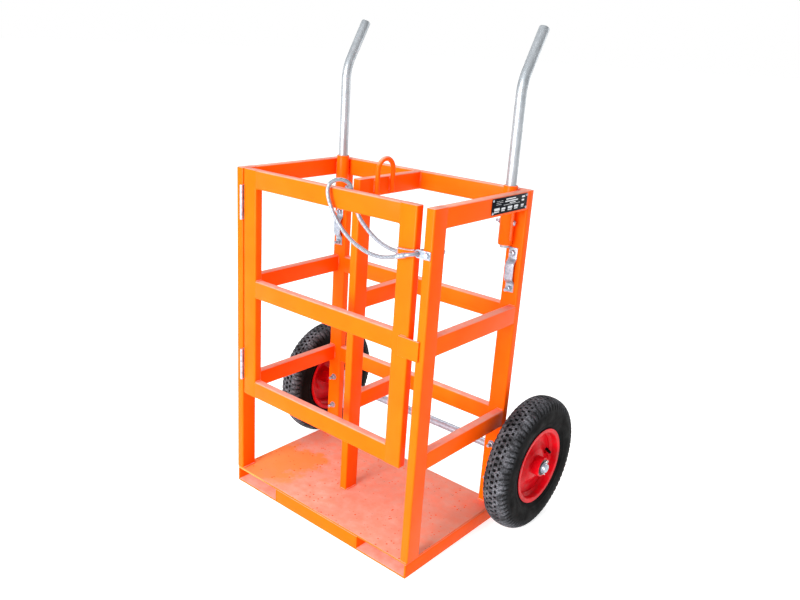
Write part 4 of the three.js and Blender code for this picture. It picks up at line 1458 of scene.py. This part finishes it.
# %% Drill the valve hole
def drilled(bm, cutter):
    """Takes the cutter away from a mesh, with a Boolean that is applied at once."""
    parts = []
    for name, part in (("drilled", bm), ("cutter", cutter)):
        bmesh.ops.remove_doubles(part, verts=part.verts, dist=MERGE)
        bmesh.ops.recalc_face_normals(part, faces=part.faces)
        mesh = bpy.data.meshes.new(name)
        part.to_mesh(mesh)
        part.free()
        parts.append(bpy.data.objects.new(name, mesh))
        bpy.context.scene.collection.objects.link(parts[-1])
    step = parts[0].modifiers.new("hole", "BOOLEAN")
    step.operation, step.solver, step.object = "DIFFERENCE", "EXACT", parts[1]
    graph = bpy.context.evaluated_depsgraph_get()
    result = bmesh.new()
    result.from_object(parts[0], graph)
    for part in parts:
        data = part.data
        bpy.data.objects.remove(part)
        bpy.data.meshes.remove(data)
    return result


def valve_place(axis, along, reach):
    """A point on the valve's line, from the wheel's middle plane and the axle."""
    turn = Vector((0, math.cos(VALVE_TURN), math.sin(VALVE_TURN)))
    return axis.translation + turn * reach + (axis.to_3x3() @ Vector((0, 0, 1))) * along


print("valve hole at", VALVE_REACH)

# %% Build both wheels
for side, sign in SIDES:
    body = f"wheel_{side}"
    centre = middle_of(f"wheel_tyre_{side}")
    axis = axis_frame(centre, (sign, 0, 0))

    rim_mesh = bmesh.new()
    web_mesh = bmesh.new()
    lathe(web_mesh, offset_section(smooth_section(WEB_LINE, 0.002, 3), RIM_SHEET), axis, RIM_STEPS)
    hole = bmesh.new()
    bmesh.ops.create_cone(
        hole, cap_ends=True, segments=32, radius1=VALVE_HOLE, radius2=VALVE_HOLE,
        depth=HOLE_DEPTH, matrix=axis_frame(valve_place(axis, 0.008, VALVE_REACH), (1, 0, 0)),
    )
    add_to(rim_mesh, drilled(web_mesh, hole))
    lathe(rim_mesh, offset_section(smooth_section(BARREL_LINE, 0.0016, 3), RIM_SHEET), axis,
          RIM_STEPS)
    lathe(rim_mesh, HUB, axis, 64)
    make_piece(rim_mesh, f"wheel_rim_{side}_steel", red_paint, body, f"wheel_rim_{side}")

    tyre_mesh = bmesh.new()
    cut_tyre(tyre_mesh, centre)
    tyre = make_piece(tyre_mesh, f"wheel_tyre_{side}_rubber", tyre_rubber, body,
                      f"wheel_tyre_{side}")
    mark_tread(tyre.data, centre)
    print("tyre size", [round(d, 4) for d in tyre.dimensions])

# %% [markdown]
# ## Bearings and valves
# Each hub has a sealed ball bearing at both ends: an outer ring, an inner ring and a dark seal
# between them, turned in one section with grooves at the seal's edges. The rubber valve stem
# leans out of its hole in the web and carries a knurled cap.

# %% Bearings
for side, sign in SIDES:
    for place in ("inner", "outer"):
        node = f"wheel_bearing_{place}_{side}"
        low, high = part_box(node)
        outer_face = high.x if (place == "outer") == (sign > 0) else low.x
        direction = 1 if outer_face == high.x else -1
        depth = high.x - low.x
        ring = (high.z - low.z) / 2
        axis = axis_frame((outer_face, axle_y, axle_z), (-direction, 0, 0))
        bore = BAR + 0.0002
        section = [
            (0.0006, bore), (0.0, bore + 0.0006), (0.0, bore + 0.003), (0.0009, bore + 0.0032),
            (0.0007, bore + 0.0038), (0.0007, ring - 0.0038), (0.0009, ring - 0.0032),
            (0.0, ring - 0.003), (0.0, ring - 0.0006), (0.0006, ring), (depth - 0.0006, ring),
            (depth, ring - 0.0006), (depth, bore + 0.0006), (depth - 0.0006, bore), (0.0006, bore),
        ]
        bearing_mesh = bmesh.new()
        lathe(bearing_mesh, section, axis, 48)
        make_piece(bearing_mesh, f"{node}_ring", dark_steel, f"wheel_{side}", node)

# %% Valves
STEM = [
    (0.0, 0.0), (0.0, 0.0062), (0.002, 0.0066), (0.004, 0.0052), (0.016, 0.0042), (0.0165, 0.0034),
    (0.0215, 0.0034), (0.0215, 0.0),
]
CAP = [
    (0.0185, 0.0), (0.0185, 0.0041), (0.019, 0.0045), (0.0205, 0.0045), (0.021, 0.0041),
    (0.0225, 0.0041), (0.023, 0.0045), (0.0245, 0.0045), (0.025, 0.0041), (0.0265, 0.0041),
    (0.027, 0.0045), (0.0285, 0.0045), (0.0295, 0.0038), (0.0298, 0.0),
]
for side, sign in SIDES:
    axis = axis_frame(middle_of(f"wheel_tyre_{side}"), (sign, 0, 0))
    foot, head = valve_place(axis, -0.001, 0.0895), valve_place(axis, 0.026, 0.0735)
    valve_axis = axis_frame(foot, head - foot)
    valve_mesh = bmesh.new()
    for section in (STEM, CAP):
        lathe(valve_mesh, section, valve_axis, 24)
    make_piece(valve_mesh, f"valve_{side}", tyre_rubber, f"wheel_{side}")
